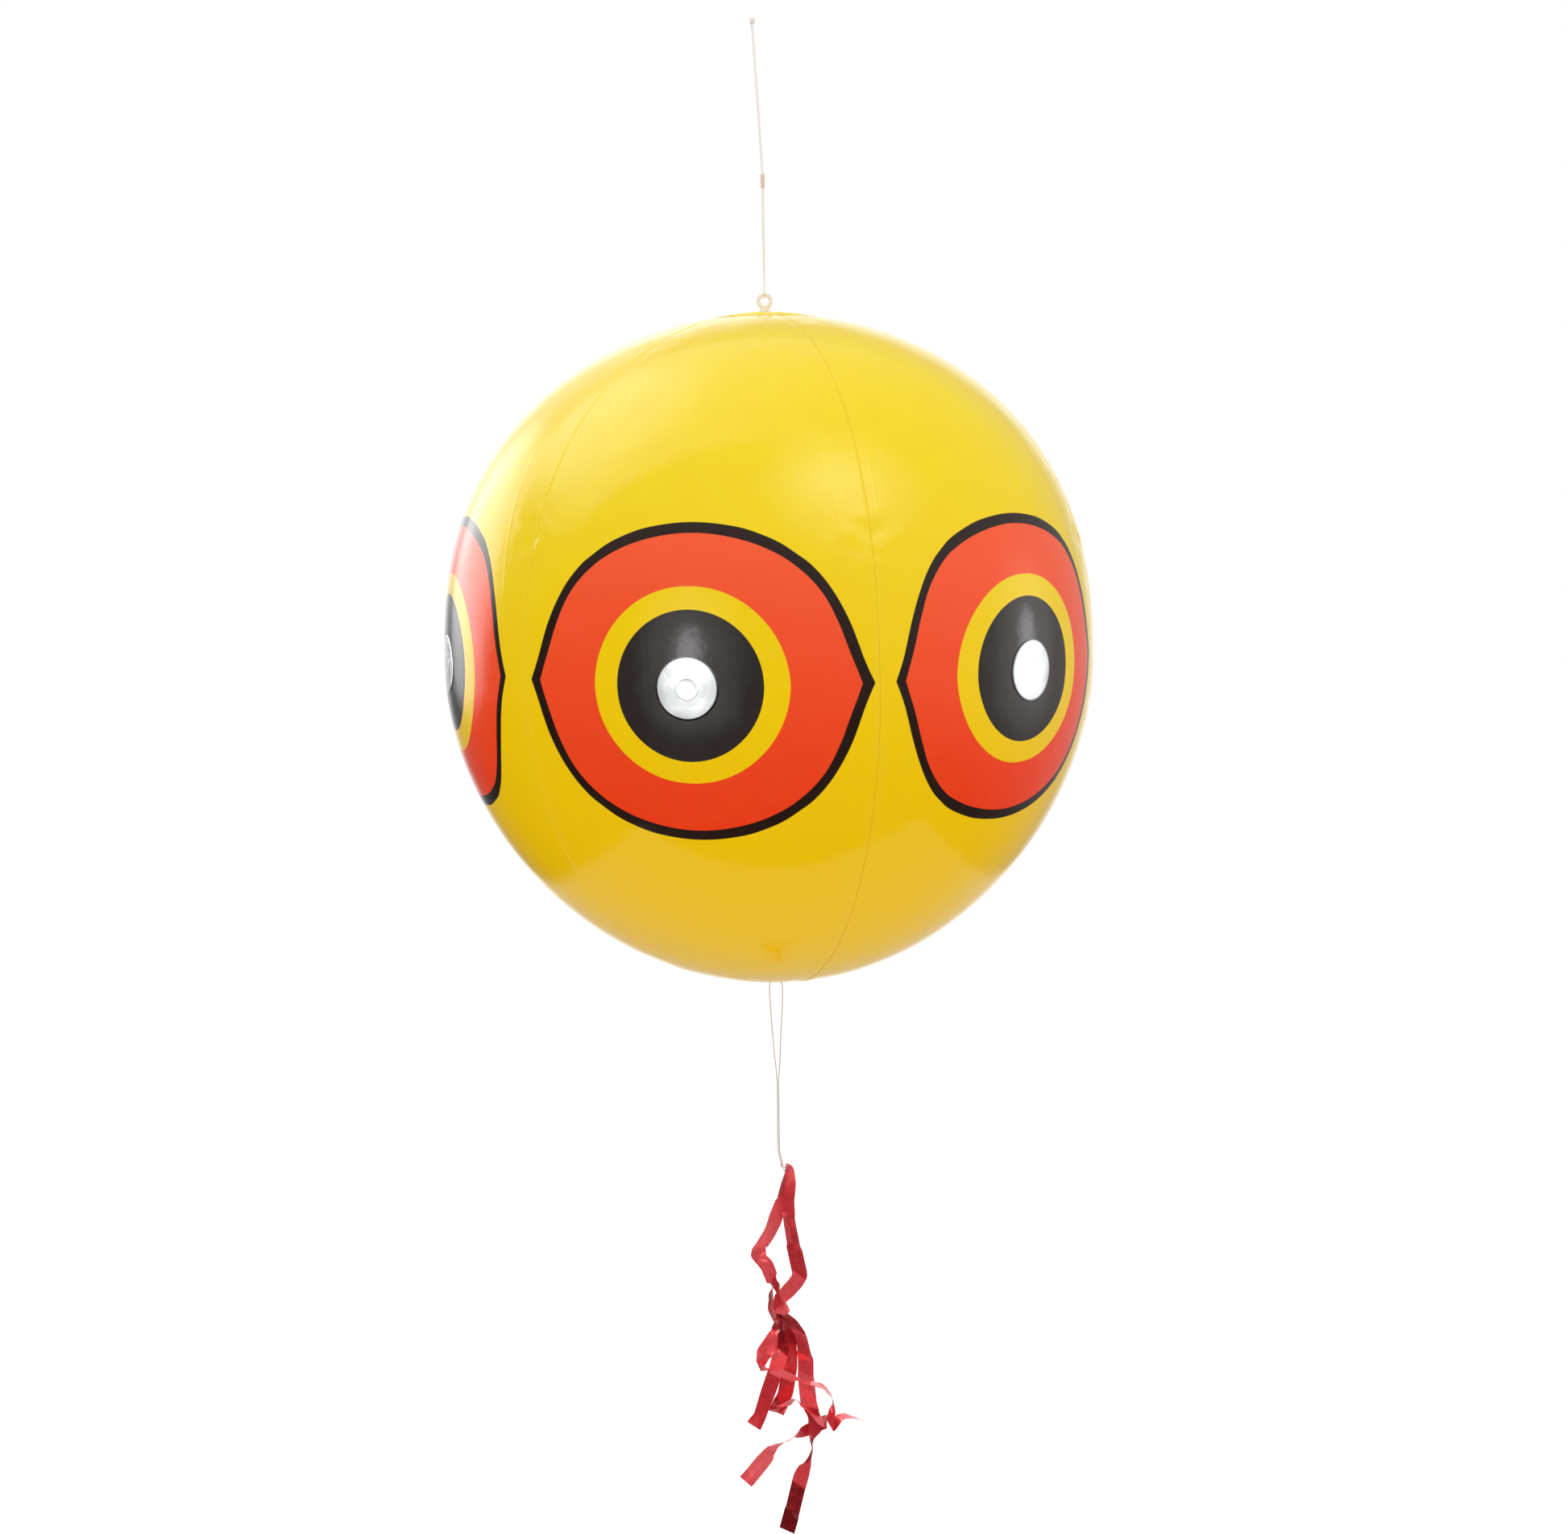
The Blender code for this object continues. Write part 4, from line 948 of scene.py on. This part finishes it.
silver = silver_film()
for number, (middle, shift) in enumerate(zip(gore_turns, print_shifts), 1):
    points = []
    for i in range(foil_rings + 1):
        share = i / foil_rings
        reach = share * foil_radius
        dimple = -dimple_depth * max(0, 1 - (reach / dimple_radius) ** 2)
        lip = lip_height * math.exp(-((reach - dimple_radius) / lip_width) ** 2)
        fall = -rim_fall * max(0, (share - rim_share) / (1 - rim_share)) ** 2
        for k in range(foil_turns if i else 1):
            turn = 2 * math.pi * k / foil_turns
            x, y = reach * math.cos(turn), reach * math.sin(turn)
            wave = foil_wave * noise.noise(Vector((x, y, 0.02 * number)) * 110)
            rise = eye_z - widest_z + y
            points.append(film_point(middle + (x + 0.5 * shift) / ball_radius,
                                     rise / (crown_height if rise > 0 else base_height),
                                     foil_lift + dimple + lip + fall + wave))
    foil = mesh_object(f"pupil_foil_{number}_film", points, round_cells(foil_rings, foil_turns))
    thicken(foil, foil_thickness)
    settle(foil)
    foil.data.shade_smooth()
    foil.data.materials.append(silver)
    dress(foil, "balloon", f"pupil_foil_{number}")


# Valve: a flange welded on the bottom disc, the stem that is pushed in after filling, with a
# flap over its inner end, and the plug on its strap. All are soft clear vinyl.
flange_seat_z = -0.580493
flange_face_z = -0.581293
flange_radius = 0.0098
flange_face_radius = 0.0066
flange_edge = 0.0004
rim_top_z = -0.581593
rim_face_z = -0.582593
rim_radius = 0.0056
stem_top_z = -0.566593
stem_radius = 0.0042
stem_tip_radius = 0.0038
stem_tip = 0.0006
stem_bore = 0.0027
mouth_flare = 0.0003
mouth_depth = 0.0004
cap_thickness = 0.0012
cap_radius = 0.0045
cap_foot_radius = 0.0038
cap_bevel = 0.0004
cap_dish = 0.0002
cap_top_z = rim_face_z - layer_gap
cap_bottom_z = cap_top_z - cap_thickness
plug_height = 0.0070
plug_radius = 0.0024
plug_tip_radius = 0.0020
plug_tip = 0.0006
groove_top = 0.0048
groove_base = 0.0032
groove_bevel = 0.0004
groove_radius = 0.0022
flap_radius = 0.0036
flap_gap = 0.0003
flap_thickness = 0.0006
strap_half = (0.00125, 0.0004)


def valve_piece(name, corners, rounding, body, node):
    made = merged(name, [turned_points(rounded_outline(corners, rounding), 96)], (valve_x, 0, 0))
    dress(made, body, node)


valve_piece("valve_flange_moulding", [
    (valve_bore, flange_seat_z), (flange_radius, flange_seat_z),
    (flange_radius, flange_seat_z - flange_edge), (flange_face_radius, flange_face_z),
    (valve_bore, flange_face_z)], 0.00025, "balloon", "valve_flange")
valve_piece("valve_stem_moulding", [
    (stem_bore, stem_top_z), (stem_tip_radius, stem_top_z), (stem_radius, stem_top_z - stem_tip),
    (stem_radius, rim_top_z), (rim_radius, rim_top_z), (rim_radius, rim_face_z),
    (stem_bore + mouth_flare, rim_face_z), (stem_bore, rim_face_z + mouth_depth)],
    0.0002, "stem", "valve_stem")
valve_piece("valve_plug_moulding", [
    (0, cap_top_z + plug_height), (plug_tip_radius, cap_top_z + plug_height),
    (plug_radius, cap_top_z + plug_height - plug_tip), (plug_radius, cap_top_z + groove_top),
    (groove_radius, cap_top_z + groove_top - groove_bevel),
    (groove_radius, cap_top_z + groove_base + groove_bevel), (plug_radius, cap_top_z + groove_base),
    (plug_radius, cap_top_z), (cap_radius, cap_top_z), (cap_radius, cap_bottom_z + cap_bevel),
    (cap_foot_radius, cap_bottom_z), (0, cap_bottom_z + cap_dish)], 0.0002, "plug", "valve_plug")
valve_piece("valve_flap_film", [
    (0, stem_top_z + flap_gap), (flap_radius, stem_top_z + flap_gap),
    (flap_radius, stem_top_z + flap_gap + flap_thickness), (0, stem_top_z + flap_gap + flap_thickness)],
    0.00015, "flap", "valve_flap")

strap_line = smooth_route([
    (0.0048, 0, -0.5834), (0.0062, 0, -0.58345), (0.0078, 0, -0.5833), (0.0083, 0, -0.5828),
    (0.0080, 0, -0.5822), (0.0070, 0, -0.58205), (0.0059, 0, -0.58209)], 0.00025)
strap_points = []
for i, place in enumerate(strap_line):
    way = strap_line[min(i + 1, len(strap_line) - 1)] - strap_line[max(i - 1, 0)]
    face = Vector((way.z, 0, -way.x)).normalized()
    strap_points += [place + Vector((valve_x, side * strap_half[0], 0)) + face * (out * strap_half[1])
                     for side, out in ((-1, -1), (1, -1), (1, 1), (-1, 1))]
strap = merged("plug_strap_moulding", [(strap_points, block_cells(len(strap_line)))], (0, 0, 0))
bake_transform(strap)
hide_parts("plug_strap")


# Streamer: two lengths of red metallised film ribbon, 10 mm wide. The long one is folded over
# the tie, both pass through the knot, and their cut ends hang free with curls and folds.
ribbon_width = 0.010
ribbon_drop = 0.2575
tail_end_z = -0.708893
ribbon_film = 0.00014
ribbon_columns = 11
flat_length = 0.019
flat_change = 0.008
flat_tilt = math.radians(46)
flat_step = 0.0042
crease_half = 0.0008
crease_slant = 0.0022
curl_depth = 0.00045
crinkle_depth = 0.00030
fine_crinkle_depth = 0.00010
pleat_depth = 0.00050
# A row per place: across and down in shares of the drop, depth in ribbon widths, the lie and
# turn of the ribbon in degrees, and how far it is spread where that isn't its full width.
long_ribbon_shares = (
    (0.205, 0.68, -0.95, 90, -62, 0.9), (0.18, 0.669, -0.95, 90, -69), (0.155, 0.664, -0.95, 90, -84),
    (0.131, 0.682, -0.97, -80, -58), (0.116, 0.686, -0.97, -49, -40), (0.116, 0.686, -1.05, -49, -40),
    (0.121, 0.668, -1.07, -9, -62), (0.129, 0.64, -1.05, 0, -65), (0.125, 0.609, -1.05, 40, -68),
    (0.105, 0.586, -1.05, 75, -70), (0.077, 0.57, -1.05, 88, -68), (0.038, 0.557, -1.05, 88, -66),
    (-0.003, 0.546, -1.05, 88, -66), (-0.04, 0.538, -1.05, 84, -60), (-0.066, 0.527, -0.94, 108, -22),
    (-0.066, 0.526, -0.83, 108, -22), (-0.049, 0.495, -0.65, 137, -6), (-0.026, 0.466, -0.55, 138, 10),
    (-0.013, 0.438, -0.35, 140, 60, 0.8), (-0.006, 0.404, 0, 150, 90, 0.4),
    (-0.006, 0.373, 0, 180, 90, 0.4), (-0.006, 0.347, 0, 180, 62, 0.8), (-0.018, 0.308, -0.2, -150, 36),
    (-0.035, 0.268, -0.1, -145, 32), (-0.058, 0.243, 0.05, 180, 4), (-0.046, 0.222, 0.1, 145, -36),
    (-0.029, 0.188, 0.1, 150, -34), (-0.01, 0.14, 0.1, 158, -34), (0.009, 0.099, 0.1, 170, -40),
    (0.0145, 0.052, 0.05, 180, -48), (0.016, 0.026, 0, 180, -62, 0.7), (0.0158, 0.008, 0, 180, -90, 0.4),
    (0.0195, 0.002, 0, 180, -90, 0.4), (0.0235, 0.002, 0, 180, -88, 0.4),
    (0.027, 0.014, 0, 180, -52, 0.8), (0.027, 0.054, -0.05, 180, -36), (0.022, 0.096, -0.1, 170, -36),
    (0.024, 0.142, -0.2, 180, -32), (0.035, 0.213, -0.2, 180, -26), (0.044, 0.267, -0.3, 180, -22),
    (0.049, 0.29, -0.34, 170, 5), (0.038, 0.31, -0.34, 142, 8), (0.018, 0.332, -0.36, 138, 8),
    (-0.002, 0.355, -0.4, 140, -10, 0.9), (-0.008, 0.375, -0.36, 160, -50, 0.6),
    (0.002, 0.4, 0.1, 180, -52, 0.6), (0.026, 0.425, 0.4, 160, -32), (0.048, 0.465, 0.55, 160, -28),
    (0.06, 0.538, 0.6, 170, -24), (0.063, 0.599, 0.6, 180, -24), (0.068, 0.659, 0.6, 180, -28),
    (0.083, 0.699, 0.5, 160, 0), (0.084, 0.736, 0.5, 170, -30), (0.075, 0.769, 0.4, -155, -78),
    (0.054, 0.807, 0.2, -153, -15), (0.043, 0.849, 0, 169, 0), (0.005, 0.996, 0, 169, 0))
short_ribbon_shares = (
    (-0.075, 0.696, -0.3, -31, -10), (-0.056, 0.662, -0.15, 13, 0), (-0.032, 0.592, -0.15, -11, 0),
    (-0.013, 0.538, -0.15, -13, 0), (0.003, 0.48, -0.05, -10, -25), (0.002, 0.432, 0, 0, -75, 0.6),
    (0, 0.404, 0, 0, -90, 0.4), (0, 0.373, 0, 0, -90, 0.4), (0, 0.343, 0, 0, -90, 0.4),
    (-0.013, 0.322, 0.5, 90, -80, 0.5), (-0.027, 0.342, 0.6, 180, -60), (-0.029, 0.391, 0.6, 180, -60),
    (-0.019, 0.422, 0.75, 215, -70), (0.005, 0.452, 0.9, 225, -60), (0.025, 0.488, 0.65, 205, -45),
    (0.02, 0.554, 0.3, 180, -15), (0.007, 0.62, 0.25, 170, -15), (-0.01, 0.655, 0.2, 160, 0),
    (-0.018, 0.67, 0.1, 146, 0), (-0.018, 0.67, 0, 146, 0), (0.002, 0.647, -0.3, 138, -40),
    (0.03, 0.615, -0.45, 110, -65), (0.054, 0.631, -0.45, 70, -75), (0.08, 0.658, -0.45, 60, -60),
    (0.098, 0.684, -0.2, 80, -20), (0.113, 0.704, 0.45, 90, 0), (0.093, 0.724, 1.15, 95, 0),
    (0.057, 0.739, 1.05, 100, -20), (0.017, 0.756, 0.6, 105, -65), (-0.02, 0.765, 0.3, 120, -40),
    (-0.058, 0.807, 0.1, 140, 0), (-0.099, 0.856, 0, 140, 0))
# Painted reflection on each flat of the long ribbon, from its curled end on: how dark or pale its red is
# drawn.
long_ribbon_painted_reflections = (0.9, 0.6, 0.7, 1.0, 1.0, 0.8, 0.7, 0.2, 0.4, 0.8, 1.0, 1.0, 0.8, 0.6, 0.5, 0.35,
                    0.35, 0.8, 0.5, 0.15, 0.35, 0.7, 0.9, 0.4, 0.2, 0.7, 0.1, 0.0, 0.0)


def red_film():
    """Red metallised film: mirror-like, with draw lines along it. Each flat between two creases
    has its own depth of red, from near black to pale pink, as a painted reflection of the room."""
    made, tree, shader = new_material("red_metal_film")
    lay = take(tree, "ShaderNodeUVMap", uv_map="lay")
    lines = grain(tree, take(tree, "ShaderNodeMapping", {"Vector": lay, "Scale": (1800, 30, 1)}), 1.0, 3)
    reflection_marks = grain(tree, lay, 260, 4)
    # Painted reflection: each flat's tone, with the draw lines and fine noise, picks the red from deep dark
    # to pale pink.
    panel = take(tree, "ShaderNodeAttribute", output="Fac", attribute_name="painted_reflection")
    tone = calc("ADD", panel, lines * 0.3 + spread(reflection_marks, -0.35, 0.05), clamp=True)
    deep = blend_colours(calc("MULTIPLY", tone, 1.7, clamp=True), (0.19, 0.007, 0.011), (0.76, 0.040, 0.052))
    pale = calc("MULTIPLY_ADD", tone, 2.5, -1.5, clamp=True)
    set_looks(shader, lines, 0.00001, {
        "Base Color": blend_colours(pale, deep, (1.0, 0.145, 0.160)),
        "Roughness": reflection_marks * 0.14 + spread(lines, 0.05, 0.13), "Metallic": 0.30})
    return made


def smoothed(values, passes):
    """Runs a short average along a list of places, with its ends held."""
    table = np.array(values, float)
    for _ in range(passes):
        table[1:-1] = (table[:-2] + 2 * table[1:-1] + table[2:]) / 4
    return table


def ribbon_route(rows):
    """Places along a ribbon's middle, its spans across, and its width shares."""
    places, spans, widths = [], [], []
    for across, down, depth, lie, turn, *width in rows:
        lie, turn = math.radians(lie), math.radians(turn)
        places.append(Vector((
            axis_x + across * ribbon_drop, depth * ribbon_width, tail_end_z - down * ribbon_drop)))
        spans.append(Vector((math.cos(turn) * math.cos(lie), math.sin(turn), math.cos(turn) * math.sin(lie))))
        widths.append(min(1.0, 0.35 + 0.75 * (width[0] if width else 1.0)))
    return places, spans, widths


def ribbon_film_mesh(name, places, spans, widths, seed, tone_seed, reflection_marks=(), crumple=1.0, step=0.0009):
    """Thin ribbon through these places: smooth between them, curled, crinkled and creased."""
    line, wide, share = [], [], []
    for i in range(len(places) - 1):
        count = max(3, round((places[i + 1] - places[i]).length / step))
        for k in range(count):
            t = k / count
            line.append(places[i].lerp(places[i + 1], t))
            wide.append(spans[i].lerp(spans[i + 1], t).normalized())
            share.append(widths[i] * (1 - t) + widths[i + 1] * t)
    line, wide, share = line + [places[-1]], wide + [spans[-1]], share + [widths[-1]]
    line, wide = smoothed(line, 5), smoothed(wide, 5)
    share = smoothed([[s] for s in share], 8)[:, 0]
    along = run_along(line)
    folds, tilts, steps, tones = [0.0], [], [], []
    while folds[-1] < along[-1] + 0.01:
        k = len(folds)
        folds.append(folds[-1] + flat_length + flat_change * noise.noise(Vector((k * 1.7, seed, 3))))
        tilts.append(math.tan(flat_tilt * noise.noise(Vector((k * 2.3, seed, 17)))))
        steps.append(flat_step * noise.noise(Vector((k * 1.9, seed, 29))))
        # Each flat's tone is a painted reflection, from the given list or from noise.
        tones.append(reflection_marks[k - 1] if k <= len(reflection_marks) else
                     0.54 + 2.0 * noise.noise(Vector((k * 2.9, tone_seed, 41))))
    folds = np.array(folds[1:])
    bends = np.sort(np.concatenate((folds - crease_half, folds + crease_half)))
    tilts, tones = (np.append(np.repeat(values, 2)[1:], values[-1]) for values in (tilts, tones))
    points, lays, shades = [], [], []
    for i in range(len(line)):
        way = Vector(line[min(i + 1, len(line) - 1)] - line[max(i - 1, 0)])
        span = Vector(wide[i]).normalized()
        face = way.cross(span).normalized()
        curl = curl_depth * noise.noise(Vector((along[i] * 28, seed, 0)))
        for j in range(ribbon_columns):
            s = 2 * j / (ribbon_columns - 1) - 1
            crinkle = crinkle_depth * noise.noise(Vector((along[i] * 75, s * 0.9, seed + 5)))
            crinkle += fine_crinkle_depth * noise.noise(Vector((along[i] * 260, s * 2.5, seed + 9)))
            pleat = pleat_depth * (1 - share[i]) * math.cos(2.5 * math.pi * s)
            slant = along[i] + s * share[i] * crease_slant
            facet = np.interp(slant, bends, tilts) * s * ribbon_width / 2 + np.interp(slant, folds, steps)
            off = curl * (1 - s * s) + crumple * (crinkle + facet * share[i]) + pleat
            points.append(Vector(line[i]) + span * (s * share[i] * ribbon_width / 2) + face * off)
            lays.append((s * ribbon_width / 2, along[i]))
            shades.append(float(np.interp(slant, bends, tones)))
    cells = [(a, b, c, d) for a, d, c, b in grid_cells(len(line), ribbon_columns)]
    made = mesh_object(name, points, cells)
    layer = made.data.uv_layers.new(name="lay")
    for loop in made.data.loops:
        layer.data[loop.index].uv = lays[loop.vertex_index]
    # The painted reflection tone of each point's flat, read by the red film.
    made.data.attributes.new("painted_reflection", "FLOAT", "POINT").data.foreach_set("value", shades)
    made.data.materials.append(foil_red)
    made.data.shade_smooth()
    thicken(made, ribbon_film, 0)
    return settle(made), float(along[-1])


foil_red = red_film()
for name, rows, *seeds in (("long_ribbon", long_ribbon_shares, 1.3, 9472.0, long_ribbon_painted_reflections),
                           ("short_ribbon", short_ribbon_shares, 4.7, 5244.01)):
    ribbon, ribbon_length = ribbon_film_mesh(name + "_film", *ribbon_route(rows), *seeds)
    dress(ribbon, "streamer", name)


# Streamer knot: a strip of the same red ribbon, wound nearly twice round the gathered bundle
# and drawn tight, so that both ribbons stay in it.
knot_centre = Vector((axis_x, 0, -0.80494))
knot_half = (0.0033, 0.0026)
knot_turns = 1.7
knot_spread = 0.0006
knot_sway = 0.0007
knot_tilt = math.radians(22)


def squarish(turn):
    """Way round a squarish oval: two shares from -1 to 1."""
    return [math.copysign(abs(share) ** 0.5, share) for share in (math.cos(turn), math.sin(turn))]


places, spans, widths = [], [], []
for k in range(41):
    turn = 2 * math.pi * knot_turns * k / 40 + 0.5
    way = squarish(turn)
    grow_by = knot_spread * k / 40
    places.append(knot_centre + Vector(((knot_half[0] + grow_by) * way[0], (knot_half[1] + grow_by) * way[1],
                                        knot_sway * math.sin(turn * 0.9))))
    tilt = knot_tilt * math.sin(turn * 0.6 + 0.8)
    spans.append(Vector((math.sin(tilt) * -way[1], math.sin(tilt) * way[0], math.cos(tilt))))
    widths.append(1.0 - 0.2 * math.sin(turn * 1.3) ** 2)
streamer_knot, _ = ribbon_film_mesh("streamer_knot_film", places, spans, widths, 8.1, 8.1,
                                    crumple=0.8, step=0.0005)
dress(streamer_knot, "streamer", "streamer_knot")


# Streamer tie: a turn of thin string under the tail knot, round the long ribbon's fold. The
# streamer hangs and swings on it.
tie_centre = Vector((0.00859, 0, -0.712143))
tie_half = (0.0012, 0.00262)
tie_turns = 1.12
tie_rise = 0.0006
tie_route = []
for k in range(33):
    way = squarish(2 * math.pi * tie_turns * k / 32)
    tie_route.append(tie_centre + Vector((tie_half[0] * way[0], tie_half[1] * way[1],
                                          tie_rise * (k / 32 - 0.5))))
tie = lay_string("streamer_tie_string", [smooth_route(tie_route, 0.0005)], 0.00085, 2, tail_pitch, loop_yarn)
dress(tie, "streamer", "streamer_tie")


# Lights and ground: soft lamps overhead, behind at the left and in front at the right, and a
# pale floor. What gloss mirrors is this studio's room: dim in front, white panels elsewhere.
def lamp(name, place, size, aim, radiance, shape="RECTANGLE"):
    """Soft lamp of this size, whose face has this radiance. Gloss sees the room's panel for it."""
    light = bpy.data.lights.new(name, "AREA")
    light.shape = shape
    light.size, light.size_y = size
    light.energy = radiance * math.pi * size[0] * size[1] * (math.pi / 4 if shape == "ELLIPSE" else 1)
    made = placed(name, light)
    made.location = place
    made.rotation_euler = (Vector(aim) - Vector(place)).to_track_quat("-Z", "Y").to_euler()
    made.visible_camera = made.visible_glossy = False


eye = (axis_x, 0, eye_z)
lamp("overhead_softbox", (0, 0.185, eye_z + 1.0), (1.3, 1.09), (0, 0.184, eye_z), 0.36)
lamp("back_left_softbox", (-0.85, 0.95, eye_z + 0.24), (0.9, 0.8), eye, 0.75)
lamp("right_lamp", (0.45, -0.72, eye_z + 1.1), (0.40, 0.40), eye, 2.6, "ELLIPSE")

world = bpy.data.worlds.new("studio")
bpy.context.scene.world = world
world.use_nodes = True
sky = world.node_tree
way = parts_of(take(sky, "ShaderNodeVectorMath", [take(sky, "ShaderNodeTexCoord", output="Generated")],
                    operation="NORMALIZE"))


def glow(turn, rise, reach, level, core=0.0):
    """Round soft lamp panel at this turn from the front and this rise, in degrees."""
    turn, rise = math.radians(turn), math.radians(rise)
    facing = (way[0] * (math.sin(turn) * math.cos(rise)) + way[1] * (-math.cos(turn) * math.cos(rise))
              + way[2] * math.sin(rise))
    return ramp(facing, math.cos(math.radians(reach)), math.cos(math.radians(core)), 0, level)


def direct_rays(tree):
    """The rays of a tree by name, and 1 where the camera looks at it, also through film."""
    rays = outputs_of(tree, "ShaderNodeLightPath")
    return rays, calc("MAXIMUM", rays["Is Camera Ray"], rays["Is Transmission Ray"])


below = abs(way[2])
walls = ramp(way[0] * 0.35 + way[1] * 0.40 + way[2], -0.60, 0.55, 0, 0.46)
backdrop = ramp(way[1], 0.84, 0.96, 0, 0.62)
ceiling = (ramp(way[1] + way[2] * 0.36, 0.0, 0.09) * ramp(way[2], 0.35, 0.62)
           * ramp(way[2] * 1.05 - way[1], -0.03, 0.06) * ramp(way[0] * -0.7 + 0.42, 0.0, 1.0))
panels = [glow(-129, 10, 25, 2.6, 9), glow(-119, 50, 27, 0.9, 6), glow(-155, 20, 26, 0.7, 8),
          glow(39, 51, 27, 1.1), glow(39, 51, 15, 1.1)]
flashes = [glow(-27, -1, 24, 0.9), glow(-27, 1, 7, 4.0), glow(97, -3, 22, 0.7), glow(98, -1, 6, 2.5)]
card = (ramp(below * 0.36 + way[1], 0.0, 0.05) * ramp(below * 0.88 - abs(way[0]), 0.0, 0.05)
        * ramp(way[2] * -1, 0.15, 0.30, 0, 0.38))
room = sum((backdrop, ceiling, *panels, *flashes, card), walls)
rays, direct = direct_rays(sky)
seen = take(sky, "ShaderNodeMix", {0: rays["Is Glossy Ray"], 2: 1.0, 3: room}, data_type="FLOAT")
feed(sky.nodes["Background"], {
    "Strength": take(sky, "ShaderNodeMix", {0: direct, 2: seen, 3: 1.0}, data_type="FLOAT"),
    "Color": (1, 1, 1, 1)})

floor_z = -1.6
floor_half = 9
floor = mesh_object("floor", [(x * floor_half, y * floor_half, floor_z)
                              for x, y in ((-1, -1), (1, -1), (1, 1), (-1, 1))], [(0, 1, 2, 3)])
floor.visible_glossy = False
ground, tree, shader = new_material("pale_floor")
feed(shader, {"Base Color": (0.90, 0.90, 0.90, 1), "Roughness": 0.9})
x, y, _ = parts_of(take(tree, "ShaderNodeTexCoord", output="Object"))
_, direct = direct_rays(tree)
paper_glow = take(tree, "ShaderNodeEmission", {
    "Color": (1, 1, 1, 1), "Strength": direct * ramp(hypot(x, y), 0.6, 1.1, 0.02, 0.20)})
paper = take(tree, "ShaderNodeAddShader", [Value(tree, shader.outputs[0]), paper_glow])
open_below = take(tree, "ShaderNodeMixShader", [
    take(tree, "ShaderNodeNewGeometry", output="Backfacing"), paper, take(tree, "ShaderNodeBsdfTransparent")])
feed(tree.nodes["Material Output"], {"Surface": open_below})
floor.data.materials.append(ground)
